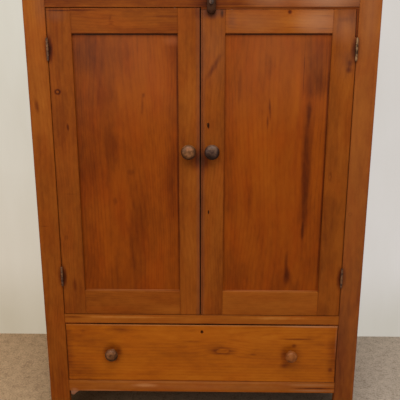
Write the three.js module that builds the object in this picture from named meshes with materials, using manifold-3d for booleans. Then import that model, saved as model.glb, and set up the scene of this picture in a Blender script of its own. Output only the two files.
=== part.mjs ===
// Jelly cupboard: two framed doors over one wide drawer, on feet cut from its own posts and sides.
// Millimetres, +Z up, the front faces -Y, +X is to the right seen from the front.
// Pieces are modelled with the face of the cupboard at y = 0 and the floor at z = 0. At the end
// the whole cupboard moves back, so that its origin is the middle of its footprint.

import * as THREE from "three";
import { mergeVertices } from "three/addons/utils/BufferGeometryUtils.js";
import Module from "manifold-3d";

const wasm = await Module();
wasm.setup();

// Driving dimensions of the case
const caseWidth = 1054;
const caseDepth = 450;
const caseHeight = 1500;
const topThickness = 22;
const topFrontOverhang = 20;
const topSideOverhang = 20;
const topNosing = 5;
const postWidth = 66;
const frameThickness = 24;
const sideThickness = 20;
const footHeight = 110;
const bottomRailHeight = 41;
const drawerOpeningHeight = 216;
const dividerHeight = 35;
const topRailHeight = 90;

// Joinery of the case
const caseTenonLength = 36;
const caseTenonThickness = 10;
const caseTenonSetback = 7;
const caseTenonShoulder = 6;
const housingDepth = 8;
const backThickness = 12;
const backRebateWidth = 10;
const backBoardCount = 5;
const backBoardGap = 1;
const backLowerEdge = 96;

// Foot cut in each side board
const sideFrontFoot = 84;
const sideBackFoot = 92;
const sideArchHeight = 78;
const sideArchRadius = 46;

// Floor and shelves of the upper cupboard
const floorThickness = 18;
const shelfThickness = 18;
const shelfCount = 2;
const shelfSetback = 24;

// Doors
const doorThickness = 22;
const doorGap = 2;
const meetingGap = 3;
const meetingOffset = -3;
const hingeStileWidth = 72;
const leftMeetingStileWidth = 66;
const rightMeetingStileWidth = 72;
const doorTopRailHeight = 72;
const doorBottomRailHeight = 85;
const doorTenonLength = 44;
const doorTenonShoulder = 9;
const panelRecess = 8;
const panelThickness = 10;
const panelTongue = 9;
const grooveDepth = 10;
const quirkWidth = 1.6;
const quirkDepth = 2;
const beadWidth = 5;

// Butt hinges
const hingeLength = 64;
const hingeLeafWidth = 19;
const hingeLeafThickness = 2;
const hingeLetIn = 1.2;
const hingeLeafSetback = 0.6;
const barrelRadius = 3.5;
const hingePinRadius = 1.6;
const knuckleCount = 5;
const upperHingeDrop = 118;
const lowerHingeRise = 136;

// Turned knobs
const doorKnobDiameter = 47;
const drawerKnobDiameter = 45;
const knobReach = 36;
const knobDowelRadius = 6;
const knobDowelLength = 19;
const doorKnobShare = 0.5672;
const doorKnobInset = 34.5;
const drawerKnobShare = 0.6623;
const drawerKnobRise = 112;

// Turn button over the right door
const buttonLength = 77;
const buttonWidth = 26;
const buttonThickness = 10;
const buttonOffset = 32;
const buttonRise = 14.5;
const buttonStandoff = 0.6;
const buttonScrewRadius = 2.6;
const buttonScrewHeadRadius = 6;
const buttonScrewHeadHeight = 3.2;
const buttonScrewDepth = 19;

// Drawer
const drawerFrontThickness = 22;
const drawerSideThickness = 14;
const drawerBackThickness = 14;
const drawerBottomThickness = 8;
const drawerBackRoom = 34;
const drawerSideDrop = 4;
const drawerBackDrop = 10;
const drawerBottomRise = 12;
const drawerBottomTongue = 6;
const drawerFrontGap = 2;
const dovetailLength = 14;
const dovetailCount = 4;
const dovetailFlare = 4;
const runnerThickness = 20;
const runnerReach = 66;
const guideHeight = 26;
const kickerHeight = 17;
const stopLength = 16;
const stopHeight = 20;
const stopWidth = 30;

// Locks of the right door and of the drawer
const lockWidth = 42;
const lockHeight = 56;
const lockThickness = 11;
const boltWidth = 18;
const boltThickness = 5;
const boltLength = 26;
const boltThrow = 9;
const boltSetback = 0.4;
const keyholeRadius = 2.6;
const keyholeSlotWidth = 2.8;
const keyholeSlotLength = 10;
const keyholePocket = 4;
const lockAboveKnob = 84;
const drawerLockOffset = 2;
const strikeThickness = 1.5;
const strikeWidth = 12;
const strikeHeight = 44;

// Catch inside the left door, which turns up behind the case's top rail
const catchLength = 60;
const catchWidth = 22;
const catchThickness = 9;
const catchDrop = 16;
const catchBossRadius = 8;
const catchScrewDepth = 17;

// Fits and overrun
const clearance = 0.3;
const runningGap = 1.5;
const overrun = 6;

// Facets of round work
const knobFacets = 24;
const knobCurveFacets = 4;
const screwFacets = 16;
const barrelFacets = 16;
const boreFacets = 12;
const cornerFacets = 6;

// Levels and places worked out from the driving dimensions
const halfWidth = caseWidth / 2;
const openingHalf = halfWidth - postWidth;
const sideInner = halfWidth - sideThickness;
const caseTop = caseHeight - topThickness;
const drawerSill = footHeight + bottomRailHeight;
const drawerHead = drawerSill + drawerOpeningHeight;
const doorSill = drawerHead + dividerHeight;
const doorHead = caseTop - topRailHeight;
const backFront = caseDepth - backThickness;
const drawerLength = backFront - drawerBackRoom;
const shelfBay = (caseTop - doorSill - shelfCount * shelfThickness) / (shelfCount + 1);
const shelfFront = frameThickness + shelfSetback;
const doorBottom = doorSill + doorGap;
const doorTop = doorHead - doorGap;
const doorKnobHeight = doorBottom + (doorTop - doorBottom) * doorKnobShare;
const doorLockHeight = doorKnobHeight + lockAboveKnob;
const panelLow = doorBottom + doorBottomRailHeight;
const panelHigh = doorTop - doorTopRailHeight;
const pinX = openingHalf - doorGap / 2;
const pinY = -(barrelRadius + clearance);
const hingeLevels = { upper: doorTop - upperHingeDrop, lower: doorBottom + lowerHingeRise };
const buttonX = meetingOffset + buttonOffset;
const buttonZ = doorHead + buttonRise;
const drawerFrontTop = drawerHead - drawerFrontGap;
const drawerFrontBottom = drawerSill + drawerFrontGap;
const drawerFrontHalf = openingHalf - drawerFrontGap;
const drawerSideTop = drawerFrontTop - drawerSideDrop;
const drawerSideBottom = drawerSill + clearance;
const drawerSideOuter = drawerFrontHalf - clearance;
const drawerSideInner = drawerSideOuter - drawerSideThickness;
const drawerKnobSpread = drawerFrontHalf * drawerKnobShare;
const drawerKnobHeight = drawerSill + drawerKnobRise;
const lockFront = doorThickness - lockThickness;
const boltLow = (lockThickness - boltThickness) / 2;

// Finishes
const finish = (color, roughness, metalness) =>
  new THREE.MeshStandardMaterial({ color, roughness, metalness });
const frameWood = finish(0x8f4f20, 0.42, 0);
const panelWood = finish(0x7c3d18, 0.4, 0);
const drawerWood = finish(0x96551f, 0.42, 0);
const innerWood = finish(0xa37a4c, 0.8, 0);
const paleKnobWood = finish(0x9a5a2a, 0.35, 0);
const darkKnobWood = finish(0x4b2a24, 0.35, 0);
const buttonWood = finish(0x4a2a1b, 0.5, 0);
const wornSteel = finish(0x7a7268, 0.5, 0.8);
const oldBrass = finish(0x8c7136, 0.4, 0.8);

// Solids: closed meshes with shared corners, joined and cut as solids
function toSolid(geometry) {
  const bare = geometry.clone();
  bare.deleteAttribute("normal");
  bare.deleteAttribute("uv");
  const merged = mergeVertices(bare);
  const mesh = new wasm.Mesh({
    numProp: 3,
    vertProperties: new Float32Array(merged.attributes.position.array),
    triVerts: new Uint32Array(merged.index.array),
  });
  return new wasm.Manifold(mesh);
}

function toGeometry(solid) {
  const mesh = solid.getMesh();
  const geometry = new THREE.BufferGeometry();
  geometry.setAttribute("position", new THREE.BufferAttribute(mesh.vertProperties, 3));
  geometry.setIndex(new THREE.BufferAttribute(mesh.triVerts, 1));
  geometry.computeVertexNormals();
  return geometry;
}

function cut(geometry, ...tools) {
  const solid = tools.reduce((rest, tool) => rest.subtract(toSolid(tool)), toSolid(geometry));
  return toGeometry(solid);
}

function join(...geometries) {
  const [first, ...others] = geometries.map(toSolid);
  return toGeometry(others.reduce((whole, part) => whole.add(part), first));
}

// A rectangular block between two planes on each axis, given in either order
function block([x0, x1], [y0, y1], [z0, z1]) {
  const geometry = new THREE.BoxGeometry(Math.abs(x1 - x0), Math.abs(y1 - y0), Math.abs(z1 - z0));
  return geometry.translate((x0 + x1) / 2, (y0 + y1) / 2, (z0 + z1) / 2);
}

// A stretch of the given length centred on a value
const around = (middle, length) => [middle - length / 2, middle + length / 2];

// A stretch grown by a fit on both sides
const eased = ([low, high], fit) => [Math.min(low, high) - fit, Math.max(low, high) + fit];

// A rod from a point along one axis
function rod(axis, radius, start, length, at, facets) {
  const geometry = new THREE.CylinderGeometry(radius, radius, length, facets);
  geometry.translate(0, start + length / 2, 0);
  if (axis === "x") {
    geometry.rotateZ(-Math.PI / 2);
  }
  if (axis === "z") {
    geometry.rotateX(Math.PI / 2);
  }
  return geometry.translate(...at);
}

// An outline drawn in y and z, given a thickness along x
function slabAlongX(shape, thickness, facets) {
  const geometry = new THREE.ExtrudeGeometry(shape, {
    depth: thickness,
    bevelEnabled: false,
    curveSegments: facets,
  });
  const yAxis = new THREE.Vector3(0, 1, 0);
  const zAxis = new THREE.Vector3(0, 0, 1);
  const xAxis = new THREE.Vector3(1, 0, 0);
  return geometry.applyMatrix4(new THREE.Matrix4().makeBasis(yAxis, zAxis, xAxis));
}

// An outline drawn in x and z, given a thickness along y
function slabAlongY(shape, thickness, facets) {
  const geometry = new THREE.ExtrudeGeometry(shape, {
    depth: thickness,
    bevelEnabled: false,
    curveSegments: facets,
  });
  return geometry.rotateX(Math.PI / 2).translate(0, thickness, 0);
}

// A turned piece that stands out of the face, towards -Y
function turned(profile, facets) {
  return new THREE.LatheGeometry(profile, facets).rotateX(Math.PI);
}

function piece(group, name, geometry, material) {
  const mesh = new THREE.Mesh(geometry, material);
  mesh.name = name;
  group.add(mesh);
  return mesh;
}

// The case: posts, sides, rails, top, back, floor and shelves

const caseTenonY = [caseTenonSetback, caseTenonSetback + caseTenonThickness];

// A tenon that leaves a rail's end and runs into the post on that side
function caseTenon(side, [low, high], fit) {
  const x = [side * openingHalf, side * (openingHalf + caseTenonLength + fit)];
  return block(x, eased(caseTenonY, fit), eased([low + caseTenonShoulder, high - caseTenonShoulder], fit));
}

const railSpans = {
  case_top_rail: [doorHead, caseTop],
  drawer_divider_rail: [drawerHead, doorSill],
  bottom_rail: [footHeight, drawerSill],
};

function caseRail([low, high]) {
  const board = block([-openingHalf, openingHalf], [0, frameThickness], [low, high]);
  return join(board, caseTenon(-1, [low, high], 0), caseTenon(1, [low, high], 0));
}

// The shallow bed in a post or a door stile for one hinge leaf
function leafBed(side, face, level) {
  const x = [face, face + side * hingeLetIn];
  const y = [-overrun, hingeLeafWidth + clearance];
  return block(x, y, around(level, hingeLength + 2 * clearance));
}

function frontPost(side) {
  const board = block([side * openingHalf, side * halfWidth], [0, frameThickness], [0, caseTop]);
  const mortises = Object.values(railSpans).map((span) => caseTenon(side, span, clearance));
  const beds = Object.values(hingeLevels).map((level) => leafBed(side, side * openingHalf, level));
  return cut(board, ...mortises, ...beds);
}

const shelfLevels = Array.from({ length: shelfCount }, (_, index) => {
  return doorSill + (index + 1) * shelfBay + index * shelfThickness;
});
const floorSpan = [doorSill - floorThickness, doorSill];

// Side board: straight edges, an arch between its two feet, a rebate for the back
// and housings for the floor and the shelves
function sideBoard(side) {
  const front = frameThickness;
  const archFront = front + sideFrontFoot;
  const archBack = caseDepth - sideBackFoot;
  const shape = new THREE.Shape();
  shape.moveTo(front, 0);
  shape.lineTo(archFront, 0);
  shape.lineTo(archFront, sideArchHeight - sideArchRadius);
  shape.absarc(
    archFront + sideArchRadius, sideArchHeight - sideArchRadius, sideArchRadius, Math.PI, Math.PI / 2, true,
  );
  shape.lineTo(archBack - sideArchRadius, sideArchHeight);
  shape.absarc(
    archBack - sideArchRadius, sideArchHeight - sideArchRadius, sideArchRadius, Math.PI / 2, 0, true,
  );
  shape.lineTo(archBack, 0);
  shape.lineTo(caseDepth, 0);
  shape.lineTo(caseDepth, caseTop);
  shape.lineTo(front, caseTop);
  const left = side < 0 ? -halfWidth : sideInner;
  const board = slabAlongX(shape, sideThickness, cornerFacets).translate(left, 0, 0);
  const innerFace = side * (sideInner - overrun);
  const rebate = block(
    [innerFace, side * (sideInner + backRebateWidth)],
    [backFront, caseDepth + overrun],
    [backLowerEdge, caseTop + overrun],
  );
  const housings = [floorSpan, ...shelfLevels.map((low) => [low, low + shelfThickness])].map((span) => {
    const start = span === floorSpan ? frameThickness - overrun : shelfFront;
    return block([innerFace, side * (sideInner + housingDepth)], [start, backFront], eased(span, clearance));
  });
  return cut(board, rebate, ...housings);
}

// Top board with a softly rounded front and side edge
function topBoard() {
  const half = halfWidth + topSideOverhang;
  const board = block([-half, half], [-topFrontOverhang, caseDepth], [caseTop, caseHeight]);
  const frontCutter = slabAlongX(nosingOutline(), 2 * (half + overrun), cornerFacets)
    .translate(-half - overrun, -topFrontOverhang, caseHeight);
  const depth = topFrontOverhang + caseDepth + 2 * overrun;
  const leftCutter = slabAlongY(nosingOutline(), depth, cornerFacets)
    .translate(-half, -topFrontOverhang - overrun, caseHeight);
  const rightCutter = slabAlongY(nosingOutline(), depth, cornerFacets)
    .rotateZ(Math.PI)
    .translate(half, caseDepth + overrun, caseHeight);
  return cut(board, frontCutter, leftCutter, rightCutter);
}

// What a rounded upper arris takes off a corner that lies at the outline's origin
function nosingOutline() {
  const shape = new THREE.Shape();
  shape.moveTo(-overrun, overrun);
  shape.lineTo(-overrun, -topNosing);
  shape.lineTo(0, -topNosing);
  shape.absarc(topNosing, -topNosing, topNosing, Math.PI, Math.PI / 2, true);
  shape.lineTo(topNosing, overrun);
  return shape;
}

// Floor or shelf: a board that ends in the housings of both sides
function housedBoard(front, thickness) {
  const end = sideInner + housingDepth - clearance;
  return block([-end, end], [front, backFront], [0, thickness]);
}

// Drawer runner: a ledge under the drawer's side with a guide standing beside it
function drawerRunner(side) {
  const ledge = block(
    [side * sideInner, side * (sideInner - runnerReach)],
    [frameThickness, backFront],
    [drawerSill - runnerThickness, drawerSill],
  );
  const guide = block(
    [side * sideInner, side * (drawerSideOuter + runningGap)],
    [frameThickness, backFront],
    [drawerSill - runnerThickness, drawerSill + guideHeight],
  );
  return join(ledge, guide);
}

function drawerKicker(side) {
  const level = floorSpan[0];
  return block(
    [side * sideInner, side * (sideInner - runnerReach)],
    [frameThickness, backFront],
    [level - kickerHeight, level],
  );
}

function drawerStop(side) {
  const outer = side * (drawerSideOuter + runningGap - clearance);
  const start = drawerLength + runningGap;
  const z = [drawerSill, drawerSill + stopHeight];
  return block([outer, outer - side * stopWidth], [start, start + stopLength], z);
}

// Butt hinges: knuckles turn by turn on the two leaves, the pin fixed in the post's leaf

const knuckleLength = (hingeLength - (knuckleCount - 1) * clearance) / knuckleCount;

function knuckleSpan(index) {
  const low = -hingeLength / 2 + index * (knuckleLength + clearance);
  return [low, low + knuckleLength];
}

// One leaf seen from its pin at the origin: reach is +1 where the leaf's wood lies to the right
function hingeLeaf(reach, indices) {
  const woodFace = reach * (doorGap / 2);
  const x = [woodFace + reach * hingeLetIn, woodFace + reach * (hingeLetIn - hingeLeafThickness)];
  const plate = block(x, [hingeLeafSetback - pinY, hingeLeafWidth - pinY], around(0, hingeLength));
  const knuckles = indices.flatMap((index) => {
    const [low, high] = knuckleSpan(index);
    const barrel = rod("z", barrelRadius, low, high - low, [0, 0, 0], barrelFacets);
    const neck = block(x, [0, hingeLeafSetback - pinY + clearance], [low, high]);
    return [barrel, neck];
  });
  return join(plate, ...knuckles);
}

function postLeaf(side) {
  const pin = rod("z", hingePinRadius, -hingeLength / 2, hingeLength, [0, 0, 0], boreFacets);
  const even = Array.from({ length: knuckleCount }, (_, index) => index).filter((index) => index % 2 === 0);
  return join(hingeLeaf(side, even), pin);
}

function doorLeaf(side) {
  const length = hingeLength + 2 * overrun;
  const bore = rod("z", hingePinRadius + clearance, -length / 2, length, [0, 0, 0], boreFacets);
  const odd = Array.from({ length: knuckleCount }, (_, index) => index).filter((index) => index % 2 === 1);
  return cut(hingeLeaf(-side, odd), bore);
}

// A keyhole's outline: a round hole over a slot, drawn in x and z
function keyholeTool(start, length, x, z) {
  const round = rod("y", keyholeRadius, start, length, [x, 0, z], boreFacets);
  const slot = block(around(x, keyholeSlotWidth), [start, start + length], [z, z - keyholeSlotLength]);
  return join(round, slot);
}

// Doors: side is -1 for the left one and +1 for the right one

const doorEdges = {
  left: { side: -1, meeting: meetingOffset - meetingGap / 2, meetingStileWidth: leftMeetingStileWidth },
  right: { side: 1, meeting: meetingOffset + meetingGap / 2, meetingStileWidth: rightMeetingStileWidth },
};

for (const door of Object.values(doorEdges)) {
  door.hinge = door.side * (openingHalf - doorGap);
  door.panelOuter = door.hinge - door.side * hingeStileWidth;
  door.panelInner = door.meeting + door.side * door.meetingStileWidth;
  door.knobX = door.meeting + door.side * doorKnobInset;
}

const panelY = [panelRecess, panelRecess + panelThickness];

// The groove that holds the panel, as one slab wider than the opening on every side
function panelGroove(door) {
  const x = eased([door.panelOuter, door.panelInner], grooveDepth);
  return block(x, eased(panelY, clearance), eased([panelLow, panelHigh], grooveDepth));
}

function doorRail(door, [low, high]) {
  const board = block([door.panelOuter, door.panelInner], [0, doorThickness], [low, high]);
  const tenons = block(
    eased([door.panelOuter, door.panelInner], doorTenonLength), panelY,
    [low + doorTenonShoulder, high - doorTenonShoulder],
  );
  return cut(join(board, tenons), panelGroove(door));
}

function railMortises(door) {
  const x = eased([door.panelOuter, door.panelInner], doorTenonLength + clearance);
  return [[doorBottom, panelLow], [panelHigh, doorTop]].map(([low, high]) => {
    const z = eased([low + doorTenonShoulder, high - doorTenonShoulder], clearance);
    return block(x, eased(panelY, clearance), z);
  });
}

function hingeStile(door) {
  const board = block([door.hinge, door.panelOuter], [0, doorThickness], [doorBottom, doorTop]);
  const beds = Object.values(hingeLevels).map((level) => leafBed(-door.side, door.hinge, level));
  return cut(board, panelGroove(door), ...railMortises(door), ...beds);
}

function knobHole(x, z) {
  const radius = knobDowelRadius + clearance;
  return rod("y", radius, -overrun, overrun + knobDowelLength + clearance, [x, 0, z], boreFacets);
}

function meetingStileBoard(door) {
  const board = block([door.meeting, door.panelInner], [0, doorThickness], [doorBottom, doorTop]);
  return cut(board, panelGroove(door), ...railMortises(door), knobHole(door.knobX, doorKnobHeight));
}

const catchX = doorEdges.left.meeting - leftMeetingStileWidth / 2;
const catchZ = doorTop - catchDrop;
const catchStandoff = frameThickness - doorThickness + buttonStandoff;

// The catch's screw goes through the left meeting stile and the top rail's tenon inside it
function catchHole() {
  const start = doorThickness - catchScrewDepth - clearance;
  const at = [catchX, 0, catchZ];
  return rod("y", buttonScrewRadius + clearance, start, catchScrewDepth + overrun, at, boreFacets);
}

// Left meeting stile: beds for the strike plate and the lock bolt, and the catch's screw hole
function leftMeetingStile() {
  const door = doorEdges.left;
  const boltY = lockFront + boltLow;
  const plateBed = block(
    [door.meeting + overrun, door.meeting - strikeThickness],
    eased(around(boltY + boltThickness / 2, strikeWidth), clearance),
    eased(around(doorLockHeight, strikeHeight), clearance),
  );
  const boltMortise = block(
    [door.meeting, door.meeting - boltThrow],
    eased([boltY, boltY + boltThickness], runningGap),
    eased(around(doorLockHeight, boltWidth), runningGap),
  );
  return cut(meetingStileBoard(door), plateBed, boltMortise, catchHole());
}

// Right meeting stile: a bead along its edge, the lock's bed and the keyhole
function rightMeetingStile() {
  const door = doorEdges.right;
  const quirkX = [door.meeting + beadWidth, door.meeting + beadWidth + quirkWidth];
  const quirk = block(quirkX, [-overrun, quirkDepth], [doorBottom - overrun, doorTop + overrun]);
  const lockBed = block(
    [door.meeting - overrun, door.meeting + lockWidth + clearance],
    [lockFront - clearance, doorThickness + overrun],
    eased(around(doorLockHeight, lockHeight), clearance),
  );
  const keyholeX = door.meeting + lockWidth / 2;
  const keyhole = keyholeTool(-overrun, lockFront + 2 * overrun, keyholeX, doorLockHeight);
  return cut(meetingStileBoard(door), quirk, lockBed, keyhole);
}

function doorPanel(door) {
  return block(
    eased([door.panelOuter, door.panelInner], panelTongue), panelY,
    eased([panelLow, panelHigh], panelTongue),
  );
}

// Knob turned in one piece with the dowel that holds it: mushroom head, dished face
const knobShares = { foot: 0.5, neck: 0.34, neckHeight: 0.3, rimHeight: 0.62, dish: 0.56, dishDrop: 0.05 };

function knob(diameter) {
  const radius = diameter / 2;
  const shares = knobShares;
  const profile = new THREE.Path();
  profile.moveTo(0, -knobDowelLength);
  profile.lineTo(knobDowelRadius, -knobDowelLength);
  profile.lineTo(knobDowelRadius, 0);
  profile.lineTo(radius * shares.foot, 0);
  const foot = radius * shares.foot;
  const neck = radius * shares.neck;
  const neckHeight = knobReach * shares.neckHeight;
  const rimHeight = knobReach * shares.rimHeight;
  profile.quadraticCurveTo(neck, neckHeight / 2, neck, neckHeight);
  profile.quadraticCurveTo(foot, (neckHeight + rimHeight) / 2, radius, rimHeight);
  profile.quadraticCurveTo(radius, knobReach, radius * shares.dish, knobReach);
  profile.lineTo(0, knobReach - knobReach * shares.dishDrop);
  return turned(profile.getPoints(knobCurveFacets), knobFacets);
}

// Turn button: a bar with two round ends that turns on a screw, drawn upright and facing -Y
function buttonBar(length, width, thickness, standoff) {
  const radius = width / 2;
  const straight = length / 2 - radius;
  const shape = new THREE.Shape();
  shape.absarc(0, straight, radius, 0, Math.PI, false);
  shape.absarc(0, -straight, radius, Math.PI, 2 * Math.PI, false);
  return slabAlongY(shape, thickness, cornerFacets).translate(0, -standoff - thickness, 0);
}

function buttonBore(reach) {
  const radius = buttonScrewRadius + clearance;
  return rod("y", radius, -reach - overrun, reach + 2 * overrun, [0, 0, 0], boreFacets);
}

function buttonScrew(face, depth) {
  const profile = new THREE.Path();
  profile.moveTo(0, -depth);
  profile.lineTo(buttonScrewRadius, -depth);
  profile.lineTo(buttonScrewRadius, face);
  profile.lineTo(buttonScrewHeadRadius, face);
  profile.quadraticCurveTo(
    buttonScrewHeadRadius, face + buttonScrewHeadHeight, 0, face + buttonScrewHeadHeight,
  );
  return turned(profile.getPoints(cornerFacets), screwFacets);
}

function turnButton() {
  const bar = buttonBar(buttonLength, buttonWidth, buttonThickness, buttonStandoff);
  return cut(bar, buttonBore(buttonThickness));
}

// The catch has a boss on its back, because the door is thinner than the case's rail
function doorCatch() {
  const bar = buttonBar(catchLength, catchWidth, catchThickness, catchStandoff);
  const boss = rod(
    "y", catchBossRadius, -catchStandoff - clearance, catchStandoff, [0, 0, 0], screwFacets,
  );
  return cut(join(bar, boss), buttonBore(catchThickness)).rotateZ(Math.PI);
}

// Locks: a case let into the wood, with an open channel in which the bolt slides

// The door's lock, drawn from the door's edge, with its bolt leaving towards -X
function doorLockCase() {
  const body = block([0, lockWidth], [0, lockThickness], around(0, lockHeight));
  const channel = block(
    [-overrun, boltSetback + boltLength + clearance],
    eased([boltLow, boltLow + boltThickness], clearance),
    eased(around(0, boltWidth), clearance),
  );
  const keyway = keyholeTool(-overrun, overrun + keyholePocket, lockWidth / 2, 0);
  return cut(body, channel, keyway);
}

function doorLockBolt() {
  const x = [boltSetback, boltSetback + boltLength];
  return block(x, [boltLow, boltLow + boltThickness], around(0, boltWidth));
}

// The drawer's lock, drawn from the drawer front's upper edge, with its bolt leaving upwards
function drawerLockCase() {
  const body = block(around(0, lockHeight), [0, lockThickness], [-lockWidth, 0]);
  const channel = block(
    eased(around(0, boltWidth), clearance),
    eased([boltLow, boltLow + boltThickness], clearance),
    [-boltSetback - boltLength - clearance, overrun],
  );
  const keyway = keyholeTool(-overrun, overrun + keyholePocket, 0, -lockWidth / 2);
  return cut(body, channel, keyway);
}

function drawerLockBolt() {
  const z = [-boltSetback - boltLength, -boltSetback];
  return block(around(0, boltWidth), [boltLow, boltLow + boltThickness], z);
}

function strikePlate() {
  const middle = lockFront + lockThickness / 2;
  const plate = block([-strikeThickness, 0], around(middle, strikeWidth), around(0, strikeHeight));
  const slot = block(
    [-strikeThickness - overrun, overrun],
    eased(around(middle, boltThickness), runningGap),
    eased(around(0, boltWidth), runningGap),
  );
  return cut(plate, slot);
}

// Drawer: a lapped dovetailed box with its knobs and lock

// The tails at a drawer side's front end, eased by a fit where the front is cut for them
function dovetails(side, fit) {
  const height = drawerSideTop - drawerSideBottom;
  const pitch = height / dovetailCount;
  const start = drawerFrontThickness - dovetailLength;
  const left = Math.min(side * drawerSideOuter, side * drawerSideInner) - fit;
  return Array.from({ length: dovetailCount }, (_, index) => {
    const low = drawerSideBottom + index * pitch + dovetailFlare - fit;
    const high = drawerSideBottom + (index + 1) * pitch - dovetailFlare + fit;
    const shape = new THREE.Shape();
    shape.moveTo(start - fit, low);
    shape.lineTo(drawerFrontThickness, low + dovetailFlare);
    shape.lineTo(drawerFrontThickness + overrun, low + dovetailFlare);
    shape.lineTo(drawerFrontThickness + overrun, high - dovetailFlare);
    shape.lineTo(drawerFrontThickness, high - dovetailFlare);
    shape.lineTo(start - fit, high);
    return slabAlongX(shape, drawerSideThickness + 2 * fit, 1).translate(left, 0, 0);
  });
}

const drawerBottomSpan = [
  drawerSideBottom + drawerBottomRise,
  drawerSideBottom + drawerBottomRise + drawerBottomThickness,
];
const drawerBackFront = drawerLength - drawerBackThickness;

// The slab that the drawer's bottom takes up in the grooves of its neighbours
function drawerBottomSlab(fit) {
  const reach = drawerSideInner + drawerBottomTongue + fit;
  return block(
    [-reach, reach],
    [drawerFrontThickness - drawerBottomTongue - fit, drawerLength - clearance + fit],
    eased(drawerBottomSpan, fit),
  );
}

function drawerFront() {
  const board = block(
    [-drawerFrontHalf, drawerFrontHalf], [0, drawerFrontThickness], [drawerFrontBottom, drawerFrontTop],
  );
  const sockets = [-1, 1].flatMap((side) => dovetails(side, clearance));
  const knobHoles = [-1, 1].map((side) => knobHole(side * drawerKnobSpread, drawerKnobHeight));
  const lockBed = block(
    eased(around(drawerLockOffset, lockHeight), clearance),
    [drawerFrontThickness - lockThickness - clearance, drawerFrontThickness + overrun],
    [drawerFrontTop - lockWidth - clearance, drawerFrontTop + overrun],
  );
  const keyhole = keyholeTool(
    -overrun, drawerFrontThickness + overrun, drawerLockOffset, drawerFrontTop - lockWidth / 2,
  );
  return cut(board, ...sockets, ...knobHoles, lockBed, keyhole, drawerBottomSlab(clearance));
}

function drawerSide(side) {
  const board = block(
    [side * drawerSideOuter, side * drawerSideInner],
    [drawerFrontThickness + clearance, drawerLength],
    [drawerSideBottom, drawerSideTop],
  );
  const backHousing = block(
    [side * (drawerSideInner - overrun), side * (drawerSideInner + drawerBottomTongue)],
    [drawerBackFront - clearance, drawerLength + overrun],
    [drawerBottomSpan[1] - overrun, drawerSideTop + overrun],
  );
  return cut(join(board, ...dovetails(side, 0)), backHousing, drawerBottomSlab(clearance));
}

function drawerBack() {
  const reach = drawerSideInner + drawerBottomTongue - clearance;
  return block(
    [-reach, reach], [drawerBackFront, drawerLength],
    [drawerBottomSpan[1] + clearance, drawerSideTop - drawerBackDrop],
  );
}

// The divider rail and the top rail carry a hole each besides their tenons
function dividerRail() {
  const mortise = block(
    eased(around(drawerLockOffset, boltWidth), runningGap),
    eased([lockFront + boltLow, lockFront + boltLow + boltThickness], runningGap),
    [drawerHead - overrun, drawerHead + boltThrow],
  );
  return cut(caseRail(railSpans.drawer_divider_rail), mortise);
}

function topRail() {
  const hole = rod(
    "y", buttonScrewRadius + clearance, -overrun, overrun + buttonScrewDepth + clearance,
    [buttonX, 0, buttonZ], boreFacets,
  );
  return cut(caseRail(railSpans.case_top_rail), hole);
}

// Assembly

const cupboard = new THREE.Group();
const sideNames = { left: -1, right: 1 };

const caseGroup = new THREE.Group();
cupboard.add(caseGroup);
for (const [word, side] of Object.entries(sideNames)) {
  piece(caseGroup, `${word}_front_post`, frontPost(side), frameWood);
  piece(caseGroup, `${word}_side_board`, sideBoard(side), frameWood);
  piece(caseGroup, `${word}_drawer_runner`, drawerRunner(side), innerWood);
  piece(caseGroup, `${word}_drawer_kicker`, drawerKicker(side), innerWood);
  piece(caseGroup, `${word}_drawer_stop`, drawerStop(side), innerWood);
  for (const [place, level] of Object.entries(hingeLevels)) {
    const leaf = piece(caseGroup, `${word}_${place}_hinge_post_leaf`, postLeaf(side), wornSteel);
    leaf.position.set(side * pinX, pinY, level);
  }
}
piece(caseGroup, "case_top_rail", topRail(), frameWood);
piece(caseGroup, "drawer_divider_rail", dividerRail(), frameWood);
piece(caseGroup, "bottom_rail", caseRail(railSpans.bottom_rail), frameWood);
piece(caseGroup, "top_board", topBoard(), frameWood);
const floorBoard = housedBoard(frameThickness, floorThickness);
piece(caseGroup, "cupboard_floor", floorBoard, innerWood).position.z = floorSpan[0];
for (const [index, level] of shelfLevels.entries()) {
  const shelf = housedBoard(shelfFront, shelfThickness);
  piece(caseGroup, `shelf_${index + 1}`, shelf, innerWood).position.z = level;
}
const outerScrew = buttonScrew(buttonStandoff + buttonThickness + clearance, buttonScrewDepth);
piece(caseGroup, "turn_button_screw", outerScrew, wornSteel).position.set(buttonX, 0, buttonZ);

const backHalf = sideInner + backRebateWidth - clearance;
const backBoardWidth = (2 * backHalf - (backBoardCount - 1) * backBoardGap) / backBoardCount;
for (let index = 0; index < backBoardCount; index += 1) {
  const low = -backHalf + index * (backBoardWidth + backBoardGap);
  const board = block([0, backBoardWidth], [backFront, caseDepth], [backLowerEdge, caseTop]);
  piece(caseGroup, `back_board_${index + 1}`, board, innerWood).position.x = low;
}

const buttonGroup = new THREE.Group();
buttonGroup.position.set(buttonX, 0, buttonZ);
cupboard.add(buttonGroup);
piece(buttonGroup, "turn_button", turnButton(), buttonWood);

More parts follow.
